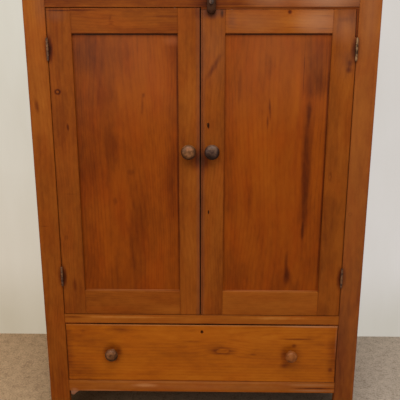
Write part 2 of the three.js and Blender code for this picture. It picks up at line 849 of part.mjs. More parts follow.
for (const [word, door] of Object.entries(doorEdges)) {
  const doorGroup = new THREE.Group();
  cupboard.add(doorGroup);
  const meetingStile = word === "left" ? leftMeetingStile() : rightMeetingStile();
  piece(doorGroup, `${word}_door_hinge_stile`, hingeStile(door), frameWood);
  piece(doorGroup, `${word}_door_meeting_stile`, meetingStile, frameWood);
  const upperRail = doorRail(door, [panelHigh, doorTop]);
  const topRailSolid = word === "left" ? cut(upperRail, catchHole()) : upperRail;
  piece(doorGroup, `${word}_door_top_rail`, topRailSolid, frameWood);
  piece(doorGroup, `${word}_door_bottom_rail`, doorRail(door, [doorBottom, panelLow]), frameWood);
  piece(doorGroup, `${word}_door_panel`, doorPanel(door), panelWood);
  const knobWood = word === "left" ? paleKnobWood : darkKnobWood;
  const doorKnob = piece(doorGroup, `${word}_door_knob`, knob(doorKnobDiameter), knobWood);
  doorKnob.position.set(door.knobX, 0, doorKnobHeight);
  for (const [place, level] of Object.entries(hingeLevels)) {
    const leaf = piece(doorGroup, `${word}_${place}_hinge_door_leaf`, doorLeaf(door.side), wornSteel);
    leaf.position.set(door.side * pinX, pinY, level);
  }
  if (word === "left") {
    const strike = piece(doorGroup, "left_door_strike_plate", strikePlate(), oldBrass);
    strike.position.set(door.meeting, 0, doorLockHeight);
    const catchGroup = new THREE.Group();
    catchGroup.position.set(catchX, doorThickness, catchZ);
    doorGroup.add(catchGroup);
    piece(catchGroup, "left_door_catch", doorCatch(), buttonWood).rotation.y = Math.PI / 2;
    const innerScrew = buttonScrew(catchStandoff + catchThickness + clearance, catchScrewDepth);
    piece(catchGroup, "left_door_catch_screw", innerScrew.rotateZ(Math.PI), wornSteel);
  } else {
    const lock = new THREE.Group();
    lock.position.set(door.meeting, lockFront, doorLockHeight);
    doorGroup.add(lock);
    piece(lock, "door_lock_case", doorLockCase(), oldBrass);
    piece(lock, "door_lock_bolt", doorLockBolt(), wornSteel);
  }
}

const drawerGroup = new THREE.Group();
cupboard.add(drawerGroup);
piece(drawerGroup, "drawer_front", drawerFront(), drawerWood);
for (const [word, side] of Object.entries(sideNames)) {
  piece(drawerGroup, `${word}_drawer_side`, drawerSide(side), innerWood);
  const drawerKnob = piece(drawerGroup, `${word}_drawer_knob`, knob(drawerKnobDiameter), paleKnobWood);
  drawerKnob.position.set(side * drawerKnobSpread, 0, drawerKnobHeight);
}
piece(drawerGroup, "drawer_back", drawerBack(), innerWood);
piece(drawerGroup, "drawer_bottom", drawerBottomSlab(0), innerWood);
const drawerLock = new THREE.Group();
drawerLock.position.set(drawerLockOffset, drawerFrontThickness - lockThickness, drawerFrontTop);
drawerGroup.add(drawerLock);
piece(drawerLock, "drawer_lock_case", drawerLockCase(), oldBrass);
piece(drawerLock, "drawer_lock_bolt", drawerLockBolt(), wornSteel);

// The footprint runs from the knobs' faces to the back boards
cupboard.position.y = (knobReach - caseDepth) / 2;

export default cupboard;
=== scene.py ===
"""Looks of the jelly cupboard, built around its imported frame.

Metres, +Z up, the doors and the drawer face -Y, +X is to the right seen from the front.
Each board, knob, hinge and lock stands in for its node of the frame and rides on that node's body.
"""

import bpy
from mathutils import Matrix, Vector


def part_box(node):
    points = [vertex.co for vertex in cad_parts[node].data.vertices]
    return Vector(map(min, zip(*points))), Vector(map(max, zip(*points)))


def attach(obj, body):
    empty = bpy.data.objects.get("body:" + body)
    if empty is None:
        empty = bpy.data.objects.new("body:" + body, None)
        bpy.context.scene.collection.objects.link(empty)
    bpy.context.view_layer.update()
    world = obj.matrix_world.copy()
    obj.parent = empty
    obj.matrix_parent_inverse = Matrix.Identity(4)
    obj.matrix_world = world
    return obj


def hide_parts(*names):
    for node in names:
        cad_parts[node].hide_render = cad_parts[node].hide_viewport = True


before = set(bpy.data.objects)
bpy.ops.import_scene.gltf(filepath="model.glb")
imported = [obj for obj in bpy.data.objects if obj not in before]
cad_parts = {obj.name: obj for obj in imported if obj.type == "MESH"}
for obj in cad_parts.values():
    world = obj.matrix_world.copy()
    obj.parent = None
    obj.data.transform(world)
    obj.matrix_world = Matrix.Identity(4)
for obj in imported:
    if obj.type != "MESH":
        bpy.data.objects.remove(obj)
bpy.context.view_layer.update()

import logging
import math
from dataclasses import dataclass, field, replace
from enum import Enum

import bmesh
import bpy
import numpy as np
from mathutils import Vector

logging.basicConfig(level=logging.INFO, format="%(message)s")
log = logging.getLogger("cupboard")

Pair = tuple[float, float]
Triple = tuple[float, float, float]
Faces = list[list[int]]
SIDES = {"left": -1.0, "right": 1.0}

# How finely outlines are drawn, and how sharp what is cut out of a board is, in metres
BOARD_STEP = 0.03
FINE_STEP = 0.01
ARC_POINTS = 6
CORNER_SHARE = 1.7
SHARP_CORNER = 0.0002
SHARP_ARRIS = 0.00005
CUT_OVERRUN = 0.002

# A merged copy of a solid: points this near are one, in metres, and in degrees, faces that meet
# at less than this are one and edges sharper than this are eased
MERGE_WITHIN = 2e-6
FLAT_WITHIN = 1.0
EASED_ABOVE = 30.0

# How an arris wears: so many waves round the outline, how often they turn, and their strength
WEAR_WAVES = 6
WEAR_TURNS = (2, 40)
WEAR_GAIN = 1.6

# Where in the noise a piece's pattern may start
JUMPS = (3.0, 60.0)

# A mark: how deep it goes, in metres, the cells of its ragged outline as a share of its width,
# and where its hollow starts as a share of its ring
THROUGH = 1000.0
GRIT_SHARE = 1.4
RING_SHARE = 0.6


class Axis(Enum):
    """An axis of the frame, as the place of its number in a triple."""

    X = 0
    Y = 1
    Z = 2


class Facing(Enum):
    """Where a board's outline and its thickness lie: outline, outline, thickness."""

    FRONT = (0, 2, 1)
    SIDE = (1, 2, 0)
    LEVEL = (0, 1, 2)


# Shapes: closed skins worked out as whole arrays


@dataclass
class Shape:
    """Points in metres and the faces that join them, as one or more closed skins."""

    points: np.ndarray
    faces: Faces

    def __add__(self, other: "Shape") -> "Shape":
        """Both skins in one shape."""
        moved = [[index + len(self.points) for index in face] for face in other.faces]
        return Shape(np.vstack([self.points, other.points]), self.faces + moved)

    def shifted(self, x: float, y: float, z: float) -> "Shape":
        """The same skin moved by a triple."""
        return Shape(self.points + np.array([x, y, z]), self.faces)

    def mapped(self, x: Triple, y: Triple, z: Triple) -> "Shape":
        """The same skin with its own axes laid along three directions.

        Args:
            x: where the shape's own x axis points in the frame.
            y: where its y axis points.
            z: where its z axis points.

        Returns:
            A shape whose points are p.x * x + p.y * y + p.z * z.
        """
        return Shape(self.points @ np.array([x, y, z], float), self.faces)

    def box(self) -> tuple[Triple, Triple]:
        """The skin's lowest and highest corner."""
        return tuple(self.points.min(axis=0)), tuple(self.points.max(axis=0))


def grid_faces(rows: int, columns: int) -> Faces:
    """Quads of a grid of points whose columns close on themselves.

    Args:
        rows: how many rings of points there are.
        columns: how many points each ring holds.

    Returns:
        One quad for each place between two rings and two columns.
    """
    row = np.arange(rows - 1)[:, None] * columns
    column = np.arange(columns)[None, :]
    after = (column + 1) % columns
    corners = [row + column, row + after, row + columns + after, row + columns + column]
    return np.stack(corners, axis=-1).reshape(-1, 4).tolist()


def capped(rings: np.ndarray) -> Shape:
    """A skin through rings of points, closed at its first and last ring by one flat face each.

    Args:
        rings: rows of as many points each, from one end to the other.

    Returns:
        The closed skin.
    """
    rows, columns, _ = rings.shape
    first = list(range(columns))[::-1]
    last = list(range((rows - 1) * columns, rows * columns))
    return Shape(rings.reshape(-1, 3), [*grid_faces(rows, columns), first, last])


def rounded_outline(corners: list[Pair], radii: list[float], step: float = BOARD_STEP) -> np.ndarray:
    """A closed outline whose corners are arcs and whose straight sides are sampled.

    At a corner, the arc's centre lies on the bisector at radius / sin(half angle) from the
    corner, and the arc starts and ends at radius / tan(half angle) along the two sides.

    Args:
        corners: the corners, counter-clockwise.
        radii: the radius at each corner.
        step: the greatest distance between two points on a straight side.

    Returns:
        An array of points, two numbers each.
    """
    points = np.array(corners, float)
    pieces = []
    count = len(points)
    turns = np.linspace(0.0, 1.0, ARC_POINTS)[:, None]
    for index, radius in enumerate(radii):
        corner = points[index]
        before = points[index - 1] - corner
        after = points[(index + 1) % count] - corner
        before = before / np.linalg.norm(before)
        after = after / np.linalg.norm(after)
        half = math.acos(max(-1.0, min(1.0, float(before @ after)))) / 2
        bisector = (before + after) / np.linalg.norm(before + after)
        centre = corner + bisector * radius / math.sin(half)
        start = corner + before * radius / math.tan(half) - centre
        end = corner + after * radius / math.tan(half) - centre
        sweep = math.pi - 2 * half
        arc = start * np.sin((1 - turns) * sweep) + end * np.sin(turns * sweep)
        pieces.append(centre + arc / math.sin(sweep))
    outline = []
    for index, piece in enumerate(pieces):
        outline.append(piece)
        ahead = pieces[(index + 1) % count][0]
        parts = int(np.linalg.norm(ahead - piece[-1]) // step) + 1
        shares = np.linspace(0.0, 1.0, parts + 1)[1:-1, None]
        outline.append(piece[-1] + (ahead - piece[-1]) * shares)
    return np.vstack(outline)


def rectangle(low: Pair, high: Pair, corner: float, step: float = BOARD_STEP) -> np.ndarray:
    """A rectangle's outline with small round corners, as rounded_outline gives it."""
    corners = [low, (high[0], low[1]), high, (low[0], high[1])]
    return rounded_outline(corners, [corner] * len(corners), step)


def worn(outline: np.ndarray, arris: float, spread: float, seed: int) -> np.ndarray:
    """How round the arris is at each point of an outline.

    The radius is arris * (1 + spread * w), and w is a mean of sines round the outline, whose
    turns and phases are drawn from the seed.

    Args:
        outline: the points of the outline.
        arris: the mean radius.
        spread: the share by which it varies.
        seed: picks the turns and the phases.

    Returns:
        One radius for each point.
    """
    draw = np.random.default_rng(seed)
    share = np.linspace(0.0, 2 * math.pi, len(outline), endpoint=False)
    turns = draw.integers(*WEAR_TURNS, WEAR_WAVES)
    phases = draw.uniform(0.0, 2 * math.pi, WEAR_WAVES)
    waves = np.sin(share[:, None] * turns + phases).mean(axis=1)
    return arris * (1 + spread * np.clip(waves * WEAR_GAIN, -1.0, 1.0))


def slab(outline: np.ndarray, low: float, high: float, arris: np.ndarray | float,
         steps: int = 3) -> Shape:
    """A board of any outline between two levels, with round arrises.

    At the turn t from 0 to a quarter, a ring lies arris * (1 - sin t) inside the outline and
    arris * (1 - cos t) within the level that it starts from.

    Args:
        outline: a counter-clockwise outline in the slab's own x and y.
        low: the lower level, in its own z.
        high: the upper level.
        arris: the radius of the arrises, one number or one for each point.
        steps: how many flats a round arris has.

    Returns:
        The closed skin.
    """
    tangent = np.roll(outline, -1, axis=0) - np.roll(outline, 1, axis=0)
    normal = np.stack([tangent[:, 1], -tangent[:, 0]], axis=1)
    normal = normal / np.linalg.norm(normal, axis=1, keepdims=True)
    radius = np.broadcast_to(arris, len(outline))
    turn = np.linspace(0.0, math.pi / 2, steps + 1)[:, None]
    inset = radius * (1 - np.sin(turn))
    drop = radius * (1 - np.cos(turn))
    flat = outline - normal * inset[:, :, None]
    lower = np.dstack([flat, low + drop])
    upper = np.dstack([flat, high - drop])[::-1]
    return capped(np.vstack([lower, upper]))


def laid(shape: Shape, facing: Facing) -> Shape:
    """A slab turned so that its outline and thickness lie as the facing says.

    Args:
        shape: the slab, its thickness along its own z.
        facing: where its own x, y and z go.

    Returns:
        The turned skin.
    """
    points = np.empty_like(shape.points)
    points[:, list(facing.value)] = shape.points
    return Shape(points, shape.faces)


def turned(profile: np.ndarray, around: int) -> Shape:
    """A turned skin about z: the point (s, a) is at radius(s) cos a, radius(s) sin a, height(s).

    Args:
        profile: rows of radius and height, from one end to the other.
        around: how many points each ring holds.

    Returns:
        The closed skin.
    """
    angle = np.linspace(0.0, 2 * math.pi, around, endpoint=False)
    x = profile[:, :1] * np.cos(angle)
    y = profile[:, :1] * np.sin(angle)
    z = np.broadcast_to(profile[:, 1:], x.shape)
    return capped(np.dstack([x, y, z]))


def curve(start: tuple, bend: tuple, end: tuple, steps: int) -> np.ndarray:
    """Points of the curve (1 - t)^2 start + 2 t (1 - t) bend + t^2 end, without its start."""
    t = np.linspace(0.0, 1.0, steps + 1)[1:, None]
    return (1 - t) ** 2 * np.array(start) + 2 * t * (1 - t) * np.array(bend) + t**2 * np.array(end)


@dataclass(frozen=True)
class SlottedHead:
    """A screw's head that looks along its own z: a disc with two half discs on it beside the slot.

    The shares of width are of its radius, and those of height are of its rise.
    """

    radius: float
    rise: float
    slot: float
    foot_width_share: float = 0.9
    half_width_share: float = 0.98
    arris_width_share: float = 0.08
    rim_height_share: float = 0.3
    sunk_height_share: float = 0.4
    around: int = 28
    arc_points: int = 18
    chord_points: int = 9

    def shape(self) -> Shape:
        """The skins of the disc and of both half discs."""
        radius, rise = self.radius, self.rise
        foot = [radius * self.foot_width_share, -rise]
        rim = [radius, -rise * self.rim_height_share]
        disc = turned(np.array([foot, rim, [radius, 0.0]]), self.around)
        reach = math.acos(self.slot / 2 / radius)
        angle = np.linspace(-reach, reach, self.arc_points)
        arc = np.stack([radius * np.cos(angle), radius * np.sin(angle)], axis=1) * self.half_width_share
        chord = arc[-1] + (arc[0] - arc[-1]) * np.linspace(0.0, 1.0, self.chord_points)[1:-1, None]
        outline = np.vstack([arc, chord])
        right = slab(outline, -rise * self.sunk_height_share, rise, radius * self.arris_width_share, 2)
        left = Shape(right.points * np.array([-1.0, -1.0, 1.0]), right.faces)
        return disc + right + left


# Materials: node trees written as expressions


class Signal:
    """A socket whose numbers can be used in Python expressions."""

    def __init__(self, nodes: "Nodes", socket: bpy.types.NodeSocket) -> None:
        """Keeps the socket with the tree that it belongs to."""
        self.nodes = nodes
        self.socket = socket

    def __add__(self, other: "Number") -> "Signal":
        """The sum of two numbers."""
        return self.nodes.maths("ADD", self, other)

    def __sub__(self, other: "Number") -> "Signal":
        """This number less the other one."""
        return self.nodes.maths("SUBTRACT", self, other)

    def __rsub__(self, other: "Number") -> "Signal":
        """The other number less this one."""
        return self.nodes.maths("SUBTRACT", other, self)

    def __mul__(self, other: "Number") -> "Signal":
        """The product of two numbers."""
        return self.nodes.maths("MULTIPLY", self, other)

    __radd__ = __add__
    __rmul__ = __mul__

    def size(self) -> "Signal":
        """The number without its sign."""
        return self.nodes.maths("ABSOLUTE", self)

    def root(self) -> "Signal":
        """The square root."""
        return self.nodes.maths("SQRT", self)

    def sine(self) -> "Signal":
        """The sine of the number."""
        return self.nodes.maths("SINE", self)

    def least(self, other: "Number") -> "Signal":
        """The smaller of two numbers."""
        return self.nodes.maths("MINIMUM", self, other)

    def most(self, other: "Number") -> "Signal":
        """The larger of two numbers."""
        return self.nodes.maths("MAXIMUM", self, other)

    def fade(self, low: float, high: float) -> "Signal":
        """0 below low, 1 above high, and an S-shaped step between them."""
        values = {"Value": self, "From Min": low, "From Max": high}
        return self.nodes.signal("ShaderNodeMapRange", {"interpolation_type": "SMOOTHSTEP"}, values)


Number = Signal | float
Colour = tuple[float, float, float]


def linear(colour: Colour, alpha: float = 1.0) -> tuple[float, float, float, float]:
    """A colour as the linear one that a shader's socket takes.

    A share s of full strength becomes s / 12.92 up to 0.04045, and above it
    ((s + 0.055) / 1.055) ^ 2.4.

    Args:
        colour: three numbers up to 255.
        alpha: how solid it is.

    Returns:
        Four numbers up to 1.
    """
    shares = np.array(colour, float) / 255
    low = shares / 12.92
    high = ((shares + 0.055) / 1.055) ** 2.4
    return (*np.where(shares <= 0.04045, low, high).tolist(), alpha)


class Nodes:
    """The node tree of one material, with its shader and output in place."""

    def __init__(self, name: str) -> None:
        """Makes an empty material.

        Args:
            name: the material's name.
        """
        self.material = bpy.data.materials.new(name)
        self.material.use_nodes = True
        self.tree = self.material.node_tree
        self.tree.nodes.clear()
        self.shader = self.node("ShaderNodeBsdfPrincipled", {}, {})
        self.output = self.node("ShaderNodeOutputMaterial", {}, {"Surface": self.shader.outputs[0]})

    def node(self, kind: str, settings: dict, values: dict) -> bpy.types.Node:
        """Adds one node.

        Args:
            kind: the node's type.
            settings: its own settings, which are set first; "stops" fills a ramp.
            values: the number, colour, signal or socket for each input, by name or place.

        Returns:
            The node.
        """
        node = self.tree.nodes.new(kind)
        for key, value in settings.items():
            if key == "stops":
                while len(node.color_ramp.elements) < len(value):
                    node.color_ramp.elements.new(1.0)
                for element, (place, colour) in zip(node.color_ramp.elements, value):
                    element.position = place
                    element.color = linear(colour)
            else:
                setattr(node, key, value)
        for key, value in values.items():
            self.feed(node.inputs[key], value)
        return node

    def feed(self, target: bpy.types.NodeSocket, value: object) -> None:
        """Links or sets one input.

        Args:
            target: the input.
            value: a signal or a socket that is linked to it, or a constant.
        """
        source = value.socket if isinstance(value, Signal) else value
        if isinstance(source, bpy.types.NodeSocket):
            self.tree.links.new(source, target)
        else:
            target.default_value = source

    def signal(self, kind: str, settings: dict, values: dict, output: int | str = 0) -> Signal:
        """One output of a new node, by its place or name."""
        return Signal(self, self.node(kind, settings, values).outputs[output])

    def maths(self, operation: str, *values: Number) -> Signal:
        """One Math node on up to three numbers."""
        return self.signal("ShaderNodeMath", {"operation": operation}, dict(enumerate(values)))

    def mix(self, factor: Number, first: object, second: object, blend: str = "MIX") -> Signal:
        """A colour between two others.

        Args:
            factor: 0 for the first, 1 for the second.
            first: a colour or a signal.
            second: a colour or a signal.
            blend: how the second is laid over the first.

        Returns:
            The mixed colour.
        """
        settings = {"data_type": "RGBA", "blend_type": blend}
        values = {0: factor}
        for place, value in ((6, first), (7, second)):
            values[place] = value if isinstance(value, Signal) else linear(value)
        return self.signal("ShaderNodeMix", settings, values, 2)

    def ramp(self, factor: Signal, stops: list[tuple[float, Colour]]) -> Signal:
        """The colour that a row of stops gives for a number."""
        return self.signal("ShaderNodeValToRGB", {"stops": stops}, {0: factor})

    def point(self) -> Signal:
        """The surface point as a vector, in metres."""
        return self.signal("ShaderNodeTexCoord", {}, {}, "Object")

    def parts(self, vector: Signal) -> tuple[Signal, Signal, Signal]:
        """A vector's x, y and z."""
        node = self.node("ShaderNodeSeparateXYZ", {}, {0: vector})
        return tuple(Signal(self, output) for output in node.outputs)

    def place(self) -> tuple[Signal, Signal, Signal]:
        """The surface point's x, y and z in metres."""
        return self.parts(self.point())

    def length(self, vector: Signal) -> Signal:
        """How long a vector is."""
        return self.signal("ShaderNodeVectorMath", {"operation": "LENGTH"}, {0: vector}, 1)

    def mapped(self, vector: Signal, kind: str, scale: Triple, location: Triple,
               turn: float = 0.0) -> Signal:
        """A vector scaled, turned about y and moved.

        Args:
            vector: what is mapped.
            kind: POINT maps it, and TEXTURE maps it the other way.
            scale: the factor or the size along each axis.
            location: the shift.
            turn: the angle about y, in radians.

        Returns:
            The mapped vector.
        """
        values = {"Vector": vector, "Location": location, "Rotation": (0.0, turn, 0.0), "Scale": scale}
        return self.signal("ShaderNodeMapping", {"vector_type": kind}, values)

    def together(self, x: Number, y: Number, z: Number) -> Signal:
        """Three numbers as one vector."""
        return self.signal("ShaderNodeCombineXYZ", {}, {0: x, 1: y, 2: z})

    def noise(self, vector: Signal, scale: float, detail: float, roughness: float = 0.5) -> Signal:
        """Smooth noise about a half, from 0 to 1."""
        values = {"Vector": vector, "Scale": scale, "Detail": detail, "Roughness": roughness}
        return self.signal("ShaderNodeTexNoise", {}, values)

    def rest(self, **values: object) -> None:
        """Sets or links sockets of the shader, with an underscore for each blank in a name."""
        for name, value in values.items():
            self.feed(self.shader.inputs[name.replace("_", " ")], value)

    def relief(self, height: Signal, strength: float, distance: float) -> None:
        """Makes a height the surface's fine relief."""
        values = {"Strength": strength, "Distance": distance, "Height": height}
        self.rest(Normal=self.signal("ShaderNodeBump", {}, values))


@dataclass(frozen=True)
class Mark:
    """A soft spot on a front face: a knot, streak, stain, shadow line or worn place.

    A spot is an oval, and a band has four sides. tone is taken off the wood's tone, so a negative
    one is paler; painted shade, painted shadows and painted highlights are marks too. soft is how
    wide its outline fades, and rough how ragged it is. ring, from 0 to 1, hollows it out, and bend
    pushes the grain lines aside around it, in metres. pale_wear_and_sheen is how much of the
    finish's pale tan lies over it: mostly painted sheen, and pale worn wood in a few places.
    """

    x: float
    z: float
    across: float
    along: float
    tone: float = 0.0
    tilt: float = 0.0
    soft: float = 0.9
    ring: float = 0.0
    bend: float = 0.0
    rough: float = 0.35
    band: bool = False
    pale_wear_and_sheen: float = 0.0


@dataclass(frozen=True)
class Figure:
    """A noise drawn out along the grain, with the length and width of its cells in metres.

    shift moves it along the grain, so that no two figures of a board look alike.
    """

    length: float
    width: float
    shift: float
    detail: float = 1.0
    roughness: float = 0.5

    def cells(self) -> Triple:
        """How many cells a metre holds, along the grain and twice across it."""
        return 1 / self.length, 1 / self.width, 1 / self.width


WANDER = Figure(0.5, 0.16, 0.0)
FLUTTER = Figure(0.09, 0.022, 5.0)
FIBRE = Figure(0.06, 0.0016, 2.0, 2.0, 0.6)
STREAK = Figure(0.75, 0.045, 9.0, 3.0, 0.55)
BLOTCH = Figure(0.2, 0.09, 13.0, 2.0)
MOTTLE = Figure(0.035, 0.012, 17.0, 3.0, 0.6)
HUE = Figure(0.13, 0.05, 21.0, 2.0)


@dataclass(frozen=True)
class WoodFinish:
    """Old varnished wood: its colours from darkest to palest, and how strong each figure is.

    The pith line runs beside the board, and its slope leans it against the grain. Grime and wear
    lie on the arrises and fade between the two distances of their reach. Marks fade out behind
    the front face within the skin, and a knot bends the rings within its reach.
    """

    black: Colour
    deep: Colour
    mid: Colour
    pale: Colour
    bright: Colour
    slot: str = "frame_wood"
    # The pale tan that marks lay over the wood: mostly painted sheen, a reflection of light on the varnish,
    # and pale worn wood in a few places.
    pale_wear_and_sheen: Colour = (178, 134, 104)
    warmth: Colour = (255, 226, 196)
    streak: float = 0.30
    blotch: float = 0.32
    mottle: float = 0.24
    fibre: float = 0.13
    ring: float = 0.06
    ring_gap: float = 0.006
    ring_wander: float = 0.09
    ring_flutter: float = 0.004
    ring_mean: float = 0.3
    ring_cover: float = 0.7
    pith_spread: float = 0.12
    pith_depth: Pair = (0.05, 0.09)
    pith_slope: float = 0.03
    streak_width: float = STREAK.width
    redness: float = 0.45
    grime: float = 0.13
    grime_flutter: float = 0.0035
    grime_reach: Pair = (0.0004, 0.0042)
    wear: float = 0.12
    wear_blotch: float = 0.004
    wear_reach: Pair = (0.0, 0.0014)
    skin: Pair = (0.003, 0.006)
    knot_reach: Pair = (0.4, 2.6)
    roughness: float = 0.46
    fibre_roughness: float = 0.1
    blotch_roughness: float = 0.16
    sheen: float = 0.14
    relief: float = 0.22
    relief_depth: float = 0.0004
    late_relief: float = 0.25
    fibre_relief: float = 0.8
    flutter_relief: float = 0.5

    def dress(self, name: str, low: Triple, high: Triple, grain: Axis, seed: int,
              marks: tuple[Mark, ...] = (), shade: float = 0.0, painted_falloff: float = 0.0) -> bpy.types.Material:
        """Makes the material of one board.

        Tone is a number about a half that a ramp of five colours turns into wood. Rings are
        the sine of the distance from a pith line beside the board. Fibres, streaks and
        blotches are noises drawn out along the grain.

        Args:
            name: the material's name.
            low: the board's lowest corner.
            high: its highest corner.
            grain: the axis along which the grain runs.
            seed: picks the part of the pattern.
            marks: the spots on its front face.
            shade: taken off the tone of the whole board.
            painted_falloff: painted shade, how much darker the board's lower end is than its upper one.

        Returns:
            The material.
        """
        nodes = Nodes(name)
        draw = np.random.default_rng(seed)
        point = nodes.point()
        place = nodes.parts(point)
        middle = [(a + b) / 2 for a, b in zip(low, high)]
        along = place[grain.value] - middle[grain.value]
        first, second = (place[axis] - middle[axis] for axis in range(3) if axis != grain.value)
        grained = nodes.together(along, first, second)
        jump = draw.uniform(*JUMPS, 3).tolist()

        def figure(kind: Figure) -> Signal:
            """A figure's noise about zero, drawn out along the grain."""
            drawn_out = nodes.mapped(grained, "POINT", kind.cells(), (jump[0] + kind.shift, *jump[1:]))
            return nodes.noise(drawn_out, 1.0, kind.detail, kind.roughness) - 0.5

        kinds = (WANDER, FLUTTER, FIBRE, replace(STREAK, width=self.streak_width), BLOTCH, MOTTLE, HUE)
        wander, flutter, fibre, streak, blotch, mottle, hue = (figure(kind) for kind in kinds)
        aside = first - draw.uniform(-0.5, 0.5) * self.pith_spread + wander * self.ring_wander
        inwards = second - draw.uniform(*self.pith_depth)
        distance = (aside * aside + inwards * inwards).root()
        distance = distance + along * draw.uniform(-self.pith_slope, self.pith_slope)
        distance = distance + flutter * self.ring_flutter
        front = 1 - (place[1] - low[1]).fade(*self.skin)
        toned, pale_wear_and_sheen_share = 0.0, 0.0
        for mark in marks:
            mask, far = self.spot(nodes, point, mark, jump[0])
            if mark.tone:
                toned = nodes.maths("MULTIPLY_ADD", mask, mark.tone, toned)
            if mark.pale_wear_and_sheen:
                pale_wear_and_sheen_share = nodes.maths("MULTIPLY_ADD", mask, mark.pale_wear_and_sheen, pale_wear_and_sheen_share)
            if mark.bend:
                distance = distance + (1 - far.fade(*self.knot_reach)) * mark.bend
        rings = (distance * (2 * math.pi / self.ring_gap)).sine() * 0.5 + 0.5
        late = rings * rings * rings
        tone = 0.5 + streak * self.streak + blotch * self.blotch + fibre * self.fibre + mottle * self.mottle
        tone = tone - (late - self.ring_mean) * (self.ring * (blotch + self.ring_cover)) - shade
        # Painted shade: the tone falls towards the board's lower end.
        if painted_falloff:
            tone = tone + (place[2] - middle[2]) * (painted_falloff / (high[2] - low[2]))
        if marks:
            tone = tone - front * toned
        edge = self.edge(place, middle, low, high)
        grimy = 1 - (edge + flutter * self.grime_flutter).fade(*self.grime_reach)
        rubbed = 1 - (edge + blotch * self.wear_blotch).fade(*self.wear_reach)
        tone = tone - grimy * self.grime + rubbed * self.wear
        colours = (self.black, self.deep, self.mid, self.pale, self.bright)
        colour = nodes.ramp(tone, list(zip((0.0, 0.25, 0.5, 0.75, 1.0), colours)))
        warm = hue.fade(-0.15, 0.25) * self.redness
        colour = nodes.mix(warm, colour, self.warmth, "MULTIPLY")
        # Painted sheen, and in a few places pale wear: the pale tan mixed over the colour where marks ask
        # for it.
        if any(mark.pale_wear_and_sheen for mark in marks):
            colour = nodes.mix(front * pale_wear_and_sheen_share, colour, self.pale_wear_and_sheen)
        height = late * self.late_relief + fibre * self.fibre_relief + flutter * self.flutter_relief
        nodes.relief(height, self.relief, self.relief_depth)
        dull = fibre * self.fibre_roughness + blotch * self.blotch_roughness
        nodes.rest(Base_Color=colour, Roughness=dull + self.roughness, Specular_IOR_Level=self.sheen)
        return nodes.material

    def spot(self, nodes: Nodes, point: Signal, mark: Mark, jump: float) -> tuple[Signal, Signal]:
        """Works out one mark.

        Its outline is ragged by a noise whose cells are about as wide as the mark.

        Args:
            nodes: the tree of the board's material.
            point: the surface point.
            mark: the spot.
            jump: picks the part of the noise.

        Returns:
            How strongly the mark shows at a point, and how far out in the mark the point is.
        """
        size = (mark.across, THROUGH, mark.along)
        local = nodes.mapped(point, "TEXTURE", size, (mark.x, 0.0, mark.z), -mark.tilt)
        far = nodes.length(local)
        if mark.band:
            across, _, along = nodes.parts(local)
            far = across.size().most(along.size())
        cell = min(mark.across, mark.along) * GRIT_SHARE
        flat = nodes.mapped(point, "POINT", (1.0, 0.0, 1.0), (0.0, jump, 0.0))
        grit = nodes.noise(flat, 1 / cell, 2.0)
        ragged = nodes.maths("MULTIPLY_ADD", grit, mark.rough, far) - mark.rough / 2
        mask = 1 - ragged.fade(1 - mark.soft, 1 + mark.soft / 2)
        if mark.ring:
            mask = mask * ragged.fade(mark.ring * RING_SHARE, mark.ring)
        return mask, far

    def edge(self, place: tuple, middle: list, low: Triple, high: Triple) -> Signal:
        """The distance to the nearest arris: the middle one of those to the three pairs of faces."""
        x, y, z = ((high[axis] - low[axis]) / 2 - (place[axis] - middle[axis]).size() for axis in range(3))
        return x.least(y).most(x.most(y).least(z))


@dataclass(frozen=True)
class TurnedFinish:
    """A turned knob's wood, whose face shows the ends of its growth rings.

    The rings' middle lies beside the knob's own. The face is paler where it is handled, and its
    rim is darker, between the two distances of each. painted_top_light makes the upper half paler and
    the lower half darker, partly as painted light from above and partly as grime low on the knob.
    """

    deep: Colour
    mid: Colour
    pale: Colour
    slot: str = "pale_knob_wood"
    roughness: float = 0.40
    sheen: float = 0.25
    scuff: float = 0.09
    painted_top_light: float = 14.0
    ring: float = 0.06
    ring_gap: float = 0.0032
    ring_cloud: float = 0.004
    ring_aside: Pair = (0.01, 0.03)
    cloud: float = 1.3
    cloud_scale: float = 70.0
    cloud_roughness: float = 0.2
    speck: float = 0.4
    speck_scale: float = 420.0
    handled: Pair = (0.006, 0.020)
    rim: Pair = (0.015, 0.023)
    rim_shade: float = 0.25
    relief: float = 0.2
    relief_depth: float = 0.0003

    def dress(self, name: str, centre: Triple, seed: int) -> bpy.types.Material:
        """Makes the material of one knob.

        Args:
            name: the material's name.
            centre: the middle of the knob's foot.
            seed: picks the part of the pattern.

        Returns:
            The material.
        """
        nodes = Nodes(name)
        draw = np.random.default_rng(seed)
        x, y, z = nodes.place()
        x = x - centre[0]
        z = z - centre[2]
        right, below = draw.uniform(*self.ring_aside, 2).tolist()
        jump = draw.uniform(*JUMPS)
        cloud = nodes.noise(nodes.together(x + jump, y, z), self.cloud_scale, 3.0) - 0.5
        speck = nodes.noise(nodes.together(x, y + jump, z), self.speck_scale, 2.0, 0.6) - 0.5
        far = ((x - right) * (x - right) + (z + below) * (z + below)).root() + cloud * self.ring_cloud
        rings = (far * (2 * math.pi / self.ring_gap)).sine() * 0.5 + 0.5
        out = (x * x + z * z).root()
        handled = 1 - out.fade(*self.handled)
        tone = 0.5 + cloud * self.cloud + speck * self.speck - rings * self.ring
        # Partly painted light from above and partly grime low down: the upper half paler, the lower half
        # darker.
        tone = tone + handled * self.scuff + z * self.painted_top_light
        tone = tone - out.fade(*self.rim) * self.rim_shade
        colour = nodes.ramp(tone, [(0.1, self.deep), (0.5, self.mid), (0.9, self.pale)])
        nodes.relief(rings * 0.3 + speck, self.relief, self.relief_depth)
        dull = cloud * self.cloud_roughness + self.roughness
        nodes.rest(Base_Color=colour, Roughness=dull, Specular_IOR_Level=self.sheen)
        return nodes.material


